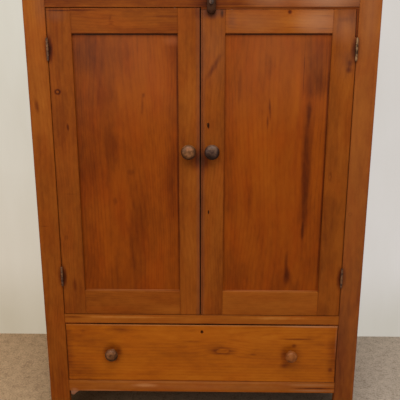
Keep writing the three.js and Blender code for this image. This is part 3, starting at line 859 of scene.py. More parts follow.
@dataclass(frozen=True)
class MetalFinish:
    """Worn metal under dirt: bright where it is rubbed, dull elsewhere, and rusty in spots.

    A place is rubbed or rusty where its noise rises through the two values of rubbed or rusty.
    """

    dull: Colour
    bare: Colour
    rust: Colour
    slot: str = "worn_steel"
    metal: float = 0.7
    roughness: float = 0.5
    cloud_scale: float = 60.0
    grit_scale: float = 900.0
    rust_scale: float = 160.0
    rubbed: Pair = (0.38, 0.60)
    rusty: Pair = (0.52, 0.68)
    rust_cover: float = 0.8
    rust_metal: float = 0.6
    rubbed_roughness: float = 0.14
    rust_roughness: float = 0.2
    grit_roughness: float = 0.08
    relief: float = 0.10
    relief_depth: float = 0.0003

    def dress(self, name: str, seed: int) -> bpy.types.Material:
        """Makes the metal of one piece.

        Args:
            name: the material's name.
            seed: picks the part of the pattern.

        Returns:
            The material.
        """
        nodes = Nodes(name)
        x, y, z = nodes.place()
        jump = float(np.random.default_rng(seed).uniform(*JUMPS))
        cloud = nodes.noise(nodes.together(x + jump, y, z), self.cloud_scale, 3.0)
        grit = nodes.noise(nodes.together(x, y + jump, z), self.grit_scale, 2.0)
        spots = nodes.noise(nodes.together(x, y, z + jump), self.rust_scale, 3.0)
        rubbed = cloud.fade(*self.rubbed)
        rusty = spots.fade(*self.rusty)
        bare = nodes.mix(rubbed, self.dull, self.bare)
        colour = nodes.mix(rusty * self.rust_cover, bare, self.rust)
        nodes.relief(grit + cloud, self.relief, self.relief_depth)
        dull = rusty * self.rust_roughness + grit * self.grit_roughness + self.roughness
        nodes.rest(Base_Color=colour, Metallic=self.metal - rusty * self.rust_metal)
        nodes.rest(Roughness=dull - rubbed * self.rubbed_roughness)
        return nodes.material


FRAME_WOOD = WoodFinish(
    black=(34, 7, 0), deep=(96, 40, 7), mid=(139, 71, 15), pale=(164, 92, 26), bright=(194, 128, 62),
    grime=0.09, sheen=0.10,
)
PANEL_WOOD = WoodFinish(
    black=(28, 11, 5), deep=(92, 37, 6), mid=(141, 66, 8), pale=(164, 84, 12), bright=(184, 108, 42),
    streak=0.28, blotch=0.28, mottle=0.20, streak_width=0.05, ring_gap=0.009, redness=0.55, sheen=0.09,
    slot="panel_wood",
)
DRAWER_WOOD = WoodFinish(
    black=(44, 18, 4), deep=(118, 52, 6), mid=(170, 90, 10), pale=(190, 110, 22), bright=(210, 144, 70),
    streak=0.26, ring=0.07, ring_gap=0.0110, redness=0.25, slot="drawer_wood",
)
BROKEN_WOOD = WoodFinish(
    black=(88, 48, 26), deep=(124, 76, 50), mid=(152, 104, 78), pale=(182, 134, 106), bright=(206, 164, 136),
    streak=0.5, fibre=0.3, roughness=0.8, sheen=0.1,
)
INNER_WOOD = WoodFinish(
    black=(60, 38, 20), deep=(120, 84, 48), mid=(164, 124, 78), pale=(186, 150, 104), bright=(206, 176, 132),
    streak=0.45, fibre=0.2, ring=0.12, roughness=0.75, sheen=0.12, grime=0.2, redness=0.2,
    slot="inner_wood",
)
BUTTON_WOOD = WoodFinish(
    black=(34, 12, 2), deep=(50, 24, 10), mid=(70, 43, 26), pale=(94, 60, 38), bright=(116, 82, 58),
    ring_gap=0.003, streak_width=0.008, sheen=0.08, slot="button_wood",
)
PALE_KNOB = TurnedFinish(deep=(62, 32, 14), mid=(110, 70, 38), pale=(166, 110, 72))
WARM_KNOB = TurnedFinish(deep=(100, 50, 18), mid=(142, 80, 34), pale=(174, 106, 54), sheen=0.18)
WORN_KNOB = TurnedFinish(deep=(38, 18, 8), mid=(80, 46, 22), pale=(140, 90, 54), scuff=0.12, painted_top_light=20.0)
DARK_KNOB = TurnedFinish(
    deep=(32, 16, 11), mid=(58, 36, 29), pale=(110, 80, 60), painted_top_light=26.0, slot="dark_knob_wood",
)
WORN_STEEL = MetalFinish(dull=(64, 40, 26), bare=(142, 107, 76), rust=(50, 26, 12))
PALE_STEEL = MetalFinish(dull=(74, 50, 32), bare=(168, 130, 90), rust=(54, 28, 12))
BROWN_STEEL = MetalFinish(dull=(66, 36, 20), bare=(126, 84, 50), rust=(50, 22, 8), metal=0.15, roughness=0.6)
DARK_IRON = MetalFinish(dull=(44, 27, 16), bare=(90, 58, 37), rust=(40, 20, 8), metal=0.1, roughness=0.62)
OLD_BRASS = MetalFinish(dull=(104, 80, 38), bare=(178, 146, 78), rust=(62, 44, 22))


# Pieces


def seed_of(name: str) -> int:
    """A number that is always the same for the same name."""
    return sum((place + 3) * code for place, code in enumerate(name.encode()))


def linked(name: str, data: bpy.types.ID) -> bpy.types.Object:
    """A new object of the scene.

    Args:
        name: the object's name.
        data: its mesh, lamp or camera.

    Returns:
        The object.
    """
    piece = bpy.data.objects.new(name, data)
    bpy.context.scene.collection.objects.link(piece)
    return piece


def mesh_of(name: str, shape: Shape) -> bpy.types.Mesh:
    """Turns a shape into a mesh whose faces look outwards.

    Args:
        name: the mesh's name.
        shape: its closed skins.

    Returns:
        The mesh.
    """
    mesh = bpy.data.meshes.new(name)
    mesh.from_pydata(shape.points.tolist(), [], shape.faces)
    work = bmesh.new()
    work.from_mesh(mesh)
    bmesh.ops.recalc_face_normals(work, faces=work.faces)
    work.to_mesh(mesh)
    work.free()
    return mesh


def make(name: str, shape: Shape, body: str, nodes: tuple[str, ...],
         material: bpy.types.Material, smooth: float = 0.0) -> bpy.types.Object:
    """Turns a shape into a piece of the cupboard.

    Args:
        name: the piece's name.
        shape: its skin in the frame's metres.
        body: the body that it rides on.
        nodes: the frame's nodes that it stands for.
        material: its finish.
        smooth: the angle in degrees up to which its faces are shaded as one, or 0 for flat ones.

    Returns:
        The object.
    """
    mesh = mesh_of(name, shape)
    if smooth:
        mesh.shade_smooth()
        mesh.set_sharp_from_angle(angle=math.radians(smooth))
    piece = linked(name, mesh)
    mesh.materials.append(material)
    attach(piece, body)
    if nodes:
        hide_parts(*nodes)
    log.info("%s: %d faces on %s", name, len(mesh.polygons), body)
    return piece


def pierce(piece: bpy.types.Object, cutter: Shape) -> None:
    """Cuts a closed skin out of a piece's mesh.

    Args:
        piece: the piece, which keeps its name and gets a new mesh.
        cutter: what is cut out.
    """
    mesh = mesh_of("cutter", cutter)
    tool = linked("cutter", mesh)
    modifier = piece.modifiers.new("cut", "BOOLEAN")
    modifier.object = tool
    modifier.operation = "DIFFERENCE"
    modifier.solver = "EXACT"
    seen = piece.evaluated_get(bpy.context.evaluated_depsgraph_get())
    cut = bpy.data.meshes.new_from_object(seen)
    piece.modifiers.clear()
    old = piece.data
    cut.name = old.name
    piece.data = cut
    bpy.data.meshes.remove(old)
    bpy.data.objects.remove(tool)
    bpy.data.meshes.remove(mesh)


def pocket(low: Triple, high: Triple) -> Shape:
    """The closed skin of an upright box between two corners, to be cut out of a board."""
    outline = rectangle((low[0], low[2]), (high[0], high[2]), SHARP_CORNER, FINE_STEP)
    return laid(slab(outline, low[1], high[1], SHARP_ARRIS, 1), Facing.FRONT)


def room_around(name: str, below: Triple, above: Triple) -> Shape:
    """A pocket around one of the frame's nodes.

    Args:
        name: the node.
        below: how far the pocket's lower corner lies outside the node's box, along each axis.
        above: the same for its upper corner.

    Returns:
        The pocket's skin.
    """
    low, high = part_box(name)
    return pocket(tuple(np.subtract(low, below)), tuple(np.add(high, above)))


def eased_copy(node: str, body: str, material: bpy.types.Material,
               arris: float) -> bpy.types.Object:
    """A merged copy of one of the frame's nodes, with eased arrises.

    Args:
        node: the node that it stands for.
        body: the body that it rides on.
        material: its finish.
        arris: the width of the eased arrises.

    Returns:
        The object.
    """
    name = f"{node}_piece"
    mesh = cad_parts[node].data.copy()
    mesh.name = name
    work = bmesh.new()
    work.from_mesh(mesh)
    bmesh.ops.remove_doubles(work, verts=work.verts, dist=MERGE_WITHIN)
    flat = math.radians(FLAT_WITHIN)
    bmesh.ops.dissolve_limit(work, angle_limit=flat, verts=work.verts, edges=work.edges)
    work.to_mesh(mesh)
    work.free()
    mesh.shade_flat()
    mesh.materials.clear()
    mesh.materials.append(material)
    piece = linked(name, mesh)
    bevel = piece.modifiers.new("eased", "BEVEL")
    bevel.width = arris
    bevel.segments = 2
    bevel.limit_method = "ANGLE"
    bevel.angle_limit = math.radians(EASED_ABOVE)
    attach(piece, body)
    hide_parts(node)
    log.info("%s: eased copy on %s", name, body)
    return piece


@dataclass
class Board:
    """One straight board with worn arrises and its own stretch of wood."""

    name: str
    body: str
    low: Triple
    high: Triple
    facing: Facing
    grain: Axis
    finish: WoodFinish
    arris: float = 0.0010
    spread: float = 0.45
    marks: tuple[Mark, ...] = ()
    shade: float = 0.0
    # Painted shade towards the board's lower end.
    painted_falloff: float = 0.0
    outline: np.ndarray | None = None

    def material(self) -> bpy.types.Material:
        """The board's own stretch of wood."""
        seed = seed_of(self.name)
        return self.finish.dress(
            f"{self.name}_wood", self.low, self.high, self.grain, seed, self.marks, self.shade, self.painted_falloff,
        )

    def corner(self) -> float:
        """The radius of the outline's corners, which has to exceed the widest arris."""
        return self.arris * CORNER_SHARE

    def build(self) -> bpy.types.Object:
        """Makes the board as a slab and places it."""
        first, second, third = self.facing.value
        outline = self.outline
        if outline is None:
            low = (self.low[first], self.low[second])
            high = (self.high[first], self.high[second])
            outline = rectangle(low, high, self.corner())
        radii = worn(outline, self.arris, self.spread, seed_of(self.name))
        shape = laid(slab(outline, self.low[third], self.high[third], radii), self.facing)
        return make(f"{self.name}_piece", shape, self.body, (self.name,), self.material())


@dataclass
class Plan:
    """Sizes and levels of the cupboard that its sub-assemblies share, in metres."""

    face: float = -0.207
    half_width: float = 0.527
    opening_half: float = 0.461
    frame_thickness: float = 0.024
    door_thickness: float = 0.022
    side_thickness: float = 0.020
    back: float = 0.243
    case_top: float = 1.478
    foot: float = 0.110
    drawer_sill: float = 0.151
    drawer_head: float = 0.367
    door_sill: float = 0.402
    door_head: float = 1.388
    door_bottom: float = 0.404
    door_top: float = 1.386
    panel_low: float = 0.489
    panel_high: float = 1.314
    bolt_throw: float = 0.009
    bolt_room: float = 0.0015
    lock_ease: float = 0.0003
    hinge_levels: dict = field(default_factory=lambda: {"upper": 1.268, "lower": 0.540})


def inner(name: str, body: str, grain: Axis, facing: Facing, arris: float = 0.0012) -> Board:
    """A plain board of bare wood that fills its node's box."""
    low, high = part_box(name)
    return Board(name, body, tuple(low), tuple(high), facing, grain, INNER_WOOD, arris)


def hinge_shadows(plan: Plan, x: float, tone: float = 0.36) -> tuple[Mark, ...]:
    """Painted shade beside the hinges at one side of the cupboard."""
    return tuple(Mark(x, level, 0.0105, 0.037, tone) for level in plan.hinge_levels.values())


@dataclass
class FillerStrip:
    """A thin strip over the right door and down its post, which makes good the door's short corner.

    The door's top ends lower by the drop, and its outer edge lies further in by the side drop at
    the top and by the foot drop at the strip's foot.
    """

    plan: Plan
    drop: float = 0.0045
    side_drop: float = 0.0075
    foot_drop: float = 0.0062
    gap: float = 0.0012
    seam: float = 0.0009
    setback: float = 0.0008
    foot: float = 1.304
    start: float = -0.0015
    thickness: float = 0.012
    corner: float = 0.0004
    arris: float = 0.0001

    def build(self) -> None:
        """Builds the strip's two lengths, which ride on the case."""
        plan = self.plan
        low = plan.door_top - self.drop + self.gap
        post = plan.opening_half - self.seam
        top = plan.door_head - self.seam
        inner_head = plan.opening_half - self.side_drop
        inner_foot = plan.opening_half - self.foot_drop
        side = [(inner_head, low), (inner_foot, self.foot), (post, self.foot), (post, low)]
        over = [(self.start, low), (post, low), (post, top), (self.start, top)]
        lengths = {
            "filler_strip_top": (Axis.X, 0.14, over),
            "filler_strip_side": (Axis.Z, 0.22, side),
        }
        front = plan.face + self.setback
        for name, (grain, shade, corners) in lengths.items():
            outline = rounded_outline(corners, [self.corner] * len(corners))
            shape = laid(slab(outline, front, front + self.thickness, self.arris, 1), Facing.FRONT)
            wood = FRAME_WOOD.dress(f"{name}_wood", *shape.box(), grain, seed_of(name), shade=shade)
            make(name, shape, "case", (), wood)


@dataclass
class Case:
    """The carcass: posts, sides, rails, top, back, floor, shelves and the drawer's bearers."""

    plan: Plan
    side_front_foot: float = 0.084
    side_back_foot: float = 0.092
    arch_height: float = 0.078
    arch_radius: float = 0.046
    side_corner: float = 0.0022
    top_corner: float = 0.008
    runner_arris: float = 0.001
    broken_setback: float = 0.0008
    broken_thickness: float = 0.014
    broken_corner_radius: float = 0.0012
    broken_arris: float = 0.0006
    broken_seed: int = 7

    def build(self) -> None:
        """Builds every piece of the carcass."""
        self.posts()
        self.rails()
        self.broken_corner()
        self.sides()
        self.top()
        self.inside()

    def posts(self) -> None:
        """The two front posts, which run down to the floor as feet."""
        plan = self.plan
        marks = {
            "left": (
                Mark(-0.5055, 1.1016, 0.0070, 0.0260, 0.24, tilt=0.15),
                Mark(-0.5065, 0.7127, 0.0160, 0.0022, 0.12),
                # Painted sheen over a darker patch near the top.
                Mark(-0.4730, 1.3950, 0.0220, 0.0550, 0.14, pale_wear_and_sheen=0.08, soft=1.0),
                # Painted shade beside the hinges.
                *hinge_shadows(plan, -0.4635, 0.24),
            ),
            "right": (
                Mark(0.4739, 0.7580, 0.0060, 0.0080, 0.16, ring=0.5, bend=0.006, soft=0.7),
                # Painted sheen near the post's top.
                Mark(0.4940, 1.3900, 0.0300, 0.1200, pale_wear_and_sheen=0.12, soft=1.0),
                Mark(0.5200, 0.4800, 0.0060, 0.0600, 0.1, soft=0.7),
                # Painted shade on the post's inner edge beside the drawer, then painted sheen down the post.
                Mark(0.4680, 0.2700, 0.0220, 0.1500, 0.13, soft=1.0),
                Mark(0.4940, 0.8000, 0.0600, 0.8000, pale_wear_and_sheen=0.05, soft=0.5, rough=0.1, band=True),
                # Painted shade beside the hinges.
                *hinge_shadows(plan, 0.4635, 0.18),
            ),
        }
        for word, side in SIDES.items():
            x = sorted((side * plan.opening_half, side * plan.half_width))
            low = (x[0], plan.face, 0.0)
            high = (x[1], plan.face + plan.frame_thickness, plan.case_top)
            # The posts get painted shade towards their feet.
            Board(
                f"{word}_front_post", "case", low, high, Facing.FRONT, Axis.Z, FRAME_WOOD,
                arris=0.0016, marks=marks[word], painted_falloff=0.2,
            ).build()

    def rails(self) -> None:
        """The top rail, the divider over the drawer with its bolt's mortise, and the bottom rail."""
        plan = self.plan
        spans = {
            "case_top_rail": (plan.door_head, plan.case_top, 0.15, (
                # Painted light and painted sheen over the rail's right end.
                Mark(0.3300, 1.4050, 0.1400, 0.0260, -0.11),
                Mark(0.3700, 1.4150, 0.1000, 0.0400, pale_wear_and_sheen=0.52, soft=1.0),
                Mark(0.2050, 1.4150, 0.0700, 0.0350, -0.05, pale_wear_and_sheen=0.24, soft=1.0),
                Mark(0.0000, plan.door_head, 0.4600, 0.0050, -0.12, band=True),
                # The turn button's painted shadow on the rail.
                Mark(0.0160, 1.3920, 0.0300, 0.0280, 0.19, soft=1.0),
                Mark(0.1000, 1.3960, 0.0400, 0.0040, 0.06, soft=0.7),
                Mark(-0.2500, 1.4000, 0.2200, 0.0300, 0.04, soft=1.0),
            )),
            "drawer_divider_rail": (plan.drawer_head, plan.door_sill, -0.10, (
                Mark(-0.4300, 0.3920, 0.0500, 0.0040, 0.25, soft=0.7),
                # Painted highlight along the rail's upper arris.
                Mark(-0.2500, 0.3930, 0.1600, 0.0050, -0.20, soft=0.7),
                Mark(-0.0244, 0.3870, 0.0500, 0.0140, -0.13, soft=1.0),
                # Painted highlight along the rail's upper arris.
                Mark(0.2600, 0.3930, 0.1400, 0.0060, -0.20, soft=0.7),
                # Painted shade along the rail's lower edge, over the drawer.
                Mark(0.0000, plan.drawer_head, 0.4700, 0.0046, 0.60, soft=0.4, band=True),
            )),
            "bottom_rail": (plan.foot, plan.drawer_sill, -0.12, (
                # Pale worn places and painted sheen along the bottom rail.
                Mark(-0.4430, 0.1150, 0.0120, 0.0070, -0.05, pale_wear_and_sheen=0.24),
                Mark(-0.1957, 0.1345, 0.0450, 0.0080, -0.25, pale_wear_and_sheen=0.2, soft=0.7),
                Mark(0.0000, 0.1300, 0.4400, 0.0120, -0.04, soft=1.0, pale_wear_and_sheen=0.08),
                Mark(0.0000, 0.1470, 0.4400, 0.0050, -0.10, band=True, pale_wear_and_sheen=0.10, soft=0.7),
                Mark(-0.3500, 0.1135, 0.0900, 0.0026, -0.12, pale_wear_and_sheen=0.25),
                Mark(0.3800, 0.1402, 0.0900, 0.0056, -0.12, soft=0.8, pale_wear_and_sheen=0.2),
                Mark(0.3900, 0.1185, 0.0800, 0.0036, pale_wear_and_sheen=0.34),
                Mark(0.3950, 0.1280, 0.0850, 0.0030, 0.42, soft=0.8),
            )),
        }
        for name, (bottom, top, shade, marks) in spans.items():
            low = (-plan.opening_half, plan.face, bottom)
            high = (plan.opening_half, plan.face + plan.frame_thickness, top)
            rail = Board(
                name, "case", low, high, Facing.FRONT, Axis.X, FRAME_WOOD, marks=marks, shade=shade,
            ).build()
            if name == "drawer_divider_rail":
                room = plan.bolt_room
                above = (room, room, plan.bolt_throw + room)
                pierce(rail, room_around("drawer_lock_bolt", (room, room, 0.0), above))

    def broken_corner(self) -> None:
        """What is left of a broken corner under the bottom rail's left end, in pale bare wood."""
        plan = self.plan
        left = -plan.opening_half
        top = plan.foot + self.broken_corner_radius
        torn = [
            (0.0040, top), (0.0060, 0.0975), (0.0120, 0.0930), (0.0190, 0.0960), (0.0230, 0.1020),
            (0.0320, 0.1075), (0.0360, top),
        ]
        corners = [(left + inwards, level) for inwards, level in torn]
        outline = rounded_outline(corners, [self.broken_corner_radius] * len(corners), 0.004)
        front = plan.face + self.broken_setback
        arris = worn(outline, self.broken_arris, 0.5, self.broken_seed)
        shape = laid(slab(outline, front, front + self.broken_thickness, arris, 2), Facing.FRONT)
        wood = BROKEN_WOOD.dress("broken_corner_wood", *shape.box(), Axis.X, self.broken_seed)
        make("broken_corner", shape, "case", (), wood, smooth=50.0)

    def sides(self) -> None:
        """The side boards, each cut to two feet by an arch with round corners."""
        plan = self.plan
        front = plan.face + plan.frame_thickness
        arch_front = front + self.side_front_foot
        arch_back = plan.back - self.side_back_foot
        corners = [
            (front, 0.0), (arch_front, 0.0), (arch_front, self.arch_height), (arch_back, self.arch_height),
            (arch_back, 0.0), (plan.back, 0.0), (plan.back, plan.case_top), (front, plan.case_top),
        ]
        radii = [self.side_corner] * len(corners)
        radii[2:4] = [self.arch_radius] * 2
        outline = rounded_outline(corners, radii)
        for word, side in SIDES.items():
            x = sorted((side * plan.half_width, side * (plan.half_width - plan.side_thickness)))
            low = (x[0], front, 0.0)
            high = (x[1], plan.back, plan.case_top)
            # The side boards get painted shade towards their feet.
            Board(
                f"{word}_side_board", "case", low, high, Facing.SIDE, Axis.Z, FRAME_WOOD,
                arris=0.0014, outline=outline, painted_falloff=0.15,
            ).build()

    def top(self) -> None:
        """The top board, its front and side arrises rounded over."""
        low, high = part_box("top_board")
        outline = rectangle((low[0], low[1]), (high[0], high[1]), self.top_corner)
        Board(
            "top_board", "case", tuple(low), tuple(high), Facing.LEVEL, Axis.X, FRAME_WOOD,
            arris=0.0042, spread=0.2, outline=outline,
        ).build()

    def inside(self) -> None:
        """Floor, shelves, back boards and what the drawer runs on, in bare wood."""
        for name in ("cupboard_floor", "shelf_1", "shelf_2"):
            inner(name, "case", Axis.X, Facing.LEVEL).build()
        for index in range(5):
            inner(f"back_board_{index + 1}", "case", Axis.Z, Facing.FRONT).build()
        for word in SIDES:
            inner(f"{word}_drawer_kicker", "case", Axis.Y, Facing.LEVEL).build()
            inner(f"{word}_drawer_stop", "case", Axis.X, Facing.LEVEL).build()
            runner = f"{word}_drawer_runner"
            wood = inner(runner, "case", Axis.Y, Facing.LEVEL).material()
            eased_copy(runner, "case", wood, self.runner_arris)


@dataclass
class Hinge:
    """A butt hinge: two leaves with their screws, and a barrel of knuckles on a pin."""

    plan: Plan
    side: float
    word: str
    place: str
    length: float = 0.064
    leaf_width: float = 0.019
    leaf_thickness: float = 0.002
    leaf_corner: float = 0.001
    leaf_arris: float = 0.0003
    let_in: float = 0.0012
    setback: float = 0.0006
    barrel: float = 0.0035
    pin: float = 0.0016
    knuckles: int = 5
    gap: float = 0.0003
    ease: float = 0.0005
    neck_corner: float = 0.0004
    neck_arris: float = 0.0002
    neck_overlap: float = 0.0008
    door_gap: float = 0.002
    pin_out: float = 0.0038
    pin_short: float = 0.001
    pin_play_share: float = 0.9
    collar_share: float = 1.7
    tip_share: float = 1.9
    tip_rise: float = 0.0022
    tip_flat: float = 0.0002
    screw: SlottedHead = SlottedHead(0.0032, 0.00022, 0.0008)
    screw_levels: Triple = (-0.022, 0.0, 0.022)
    screw_stagger: float = 0.001
    screw_turn: float = 0.5
    screw_turn_more: float = 1.1

    def ends(self, index: int) -> Pair:
        """Where a knuckle lies.

        Args:
            index: its place from the bottom.

        Returns:
            Its lower and its upper end.
        """
        length = (self.length - (self.knuckles - 1) * self.gap) / self.knuckles
        low = -self.length / 2 + index * (length + self.gap)
        return low, low + length

    def knuckle(self, index: int) -> Shape:
        """A tube about the pin, whose two ends are eased.

        Args:
            index: its place from the bottom.

        Returns:
            The knuckle's skin.
        """
        low, high = self.ends(index)
        pin, out, ease = self.pin, self.barrel, self.ease
        lower = [[pin, low], [out - ease, low], [out, low + ease]]
        upper = [[out, high - ease], [out - ease, high], [pin, high]]
        return turned(np.array(lower + upper), 28)

    def leaf(self, reach: float, indices: tuple[int, ...]) -> Shape:
        """A leaf with its knuckles and screws, seen from its pin at the origin.

        Args:
            reach: +1 where its wood lies to the right, -1 where it lies to the left.
            indices: the knuckles that it carries.

        Returns:
            The skins of all its parts.
        """
        wood = reach * self.door_gap / 2
        x = sorted((wood + reach * self.let_in, wood + reach * (self.let_in - self.leaf_thickness)))
        start = self.setback + self.pin_out
        end = self.leaf_width + self.pin_out
        half = self.length / 2
        outline = rectangle((start, -half), (end, half), self.leaf_corner, FINE_STEP)
        shape = laid(slab(outline, x[0], x[1], self.leaf_arris, 2), Facing.SIDE)
        for index in indices:
            low, high = self.ends(index)
            far = (start + self.neck_overlap, high - self.gap)
            neck = rectangle((0.0, low + self.gap), far, self.neck_corner, FINE_STEP)
            shape = shape + laid(slab(neck, x[0], x[1], self.neck_arris, 2), Facing.SIDE)
            shape = shape + self.knuckle(index)
        surface = x[0] if reach > 0 else x[1]
        for row, level in enumerate(self.screw_levels):
            turn = self.screw_turn + self.screw_turn_more * row + reach
            slot = (0.0, math.cos(turn), math.sin(turn))
            across = (0.0, -math.sin(turn), math.cos(turn))
            head = self.screw.shape().mapped(slot, across, (-reach, 0.0, 0.0))
            inwards = (start + end) / 2 + self.screw_stagger * (1 - row % 2)
            shape = shape + head.shifted(surface, inwards, level)
        return shape

    def tip(self) -> Shape:
        """The pin with a collar and a round end at its top, and the same again upside down."""
        top = self.length / 2
        inside = self.pin * self.pin_play_share
        widest = self.pin * self.tip_share
        end = top + self.tip_rise
        reach = top - self.pin_short
        rows = [[inside, -reach], [inside, reach], [self.pin * self.collar_share, top]]
        upper = np.vstack([rows, curve((widest, top), (widest, end), (self.tip_flat, end), 6)])
        lower = (upper * np.array([1.0, -1.0]))[::-1]
        return turned(upper, 24) + turned(lower, 24)

    def build(self) -> None:
        """Builds both leaves; the pin and its two round ends stay with the post's leaf."""
        x = self.side * (self.plan.opening_half - self.door_gap / 2)
        y = self.plan.face - self.pin_out
        level = self.plan.hinge_levels[self.place]
        prefix = f"{self.word}_{self.place}_hinge"
        finish = PALE_STEEL if prefix == "right_upper_hinge" else BROWN_STEEL
        post = self.leaf(self.side, (0, 2, 4)) + self.tip()
        door = self.leaf(-self.side, (1, 3))
        for part, shape, body in (("post", post, "case"), ("door", door, f"{self.word}_door")):
            name = f"{prefix}_{part}_leaf"
            metal = finish.dress(f"{name}_metal", seed_of(name))
            placed = shape.shifted(x, y, level)
            make(f"{name}_piece", placed, body, (name,), metal, smooth=40.0)


@dataclass
class Knob:
    """A turned mushroom knob with a dowel, a rounded rim and a domed face.

    The shares of width are of its radius, and those of height are of its reach.
    """

    name: str
    body: str
    x: float
    z: float
    diameter: float
    finish: TurnedFinish
    face: float = Plan.face
    reach: float = 0.036
    dowel: float = 0.006
    dowel_end: float = 0.004
    dowel_length: float = 0.019
    dowel_taper: float = 0.001
    foot_ease: Pair = (0.0006, 0.0007)
    foot_width_share: float = 0.5
    neck_width_share: float = 0.34
    cheek_width_share: float = 0.8
    face_width_share: float = 0.5
    neck_height_share: float = 0.3
    rim_height_share: float = 0.62
    bend_height_share: float = 0.82
    cheek_height_share: float = 0.9
    middle: float = 0.0004

    def profile(self) -> np.ndarray:
        """Radius and height from the dowel's end to the middle of the face."""
        radius, reach = self.diameter / 2, self.reach
        foot = radius * self.foot_width_share
        neck = radius * self.neck_width_share
        inset, rise = self.foot_ease
        neck_height = reach * self.neck_height_share
        rim_height = reach * self.rim_height_share
        rim = (radius, rim_height)
        cheek = (radius * self.cheek_width_share, reach * self.cheek_height_share)
        bottom = -self.dowel_length
        dowel = [[self.dowel_end, bottom], [self.dowel, bottom + self.dowel_taper], [self.dowel, 0.0]]
        return np.vstack([
            dowel,
            [[foot - inset, 0.0], [foot, rise]],
            curve((foot, rise), (neck, neck_height / 2), (neck, neck_height), 8),
            curve((neck, neck_height), (foot, (neck_height + rim_height) / 2), rim, 12),
            curve(rim, (radius, reach * self.bend_height_share), cheek, 8),
            curve(cheek, (radius * self.face_width_share, reach), (self.middle, reach), 10),
        ])

    def build(self) -> None:
        """Turns the knob and sets it on the face, looking towards -Y."""
        foot = (self.x, self.face, self.z)
        shape = turned(self.profile(), 64).mapped((1.0, 0.0, 0.0), (0.0, 0.0, 1.0), (0.0, -1.0, 0.0))
        wood = self.finish.dress(f"{self.name}_wood", foot, seed_of(self.name))
        piece = f"{self.name}_piece"
        make(piece, shape.shifted(*foot), self.body, (self.name,), wood, smooth=50.0)


@dataclass(frozen=True)
class Keyhole:
    """A round hole over a slot, as one outline that is pushed along y through a front."""

    radius: float = 0.0029
    half: float = 0.0016
    drop: float = 0.0105
    depth: float = 0.014
    overrun: float = 0.01

    def shape(self, x: float, face: float, z: float) -> Shape:
        """Places the hole.

        Args:
            x: the middle of the round hole.
            face: where the front's surface lies.
            z: the level of the round hole's middle.

        Returns:
            The skin to be cut out.
        """
        half = self.half
        reach = math.asin(half / self.radius)
        angle = np.linspace(-math.pi / 2 + reach, 1.5 * math.pi - reach, 20)
        arc = np.stack([self.radius * np.cos(angle), self.radius * np.sin(angle)], axis=1)
        bottom = np.linspace(math.pi, 2 * math.pi, 8)
        foot = np.stack([half * np.cos(bottom), -self.drop + half + half * np.sin(bottom)], axis=1)
        outline = np.vstack([arc, foot]) + np.array([x, z])
        return laid(slab(outline, face - self.overrun, face + self.depth, SHARP_ARRIS, 1), Facing.FRONT)


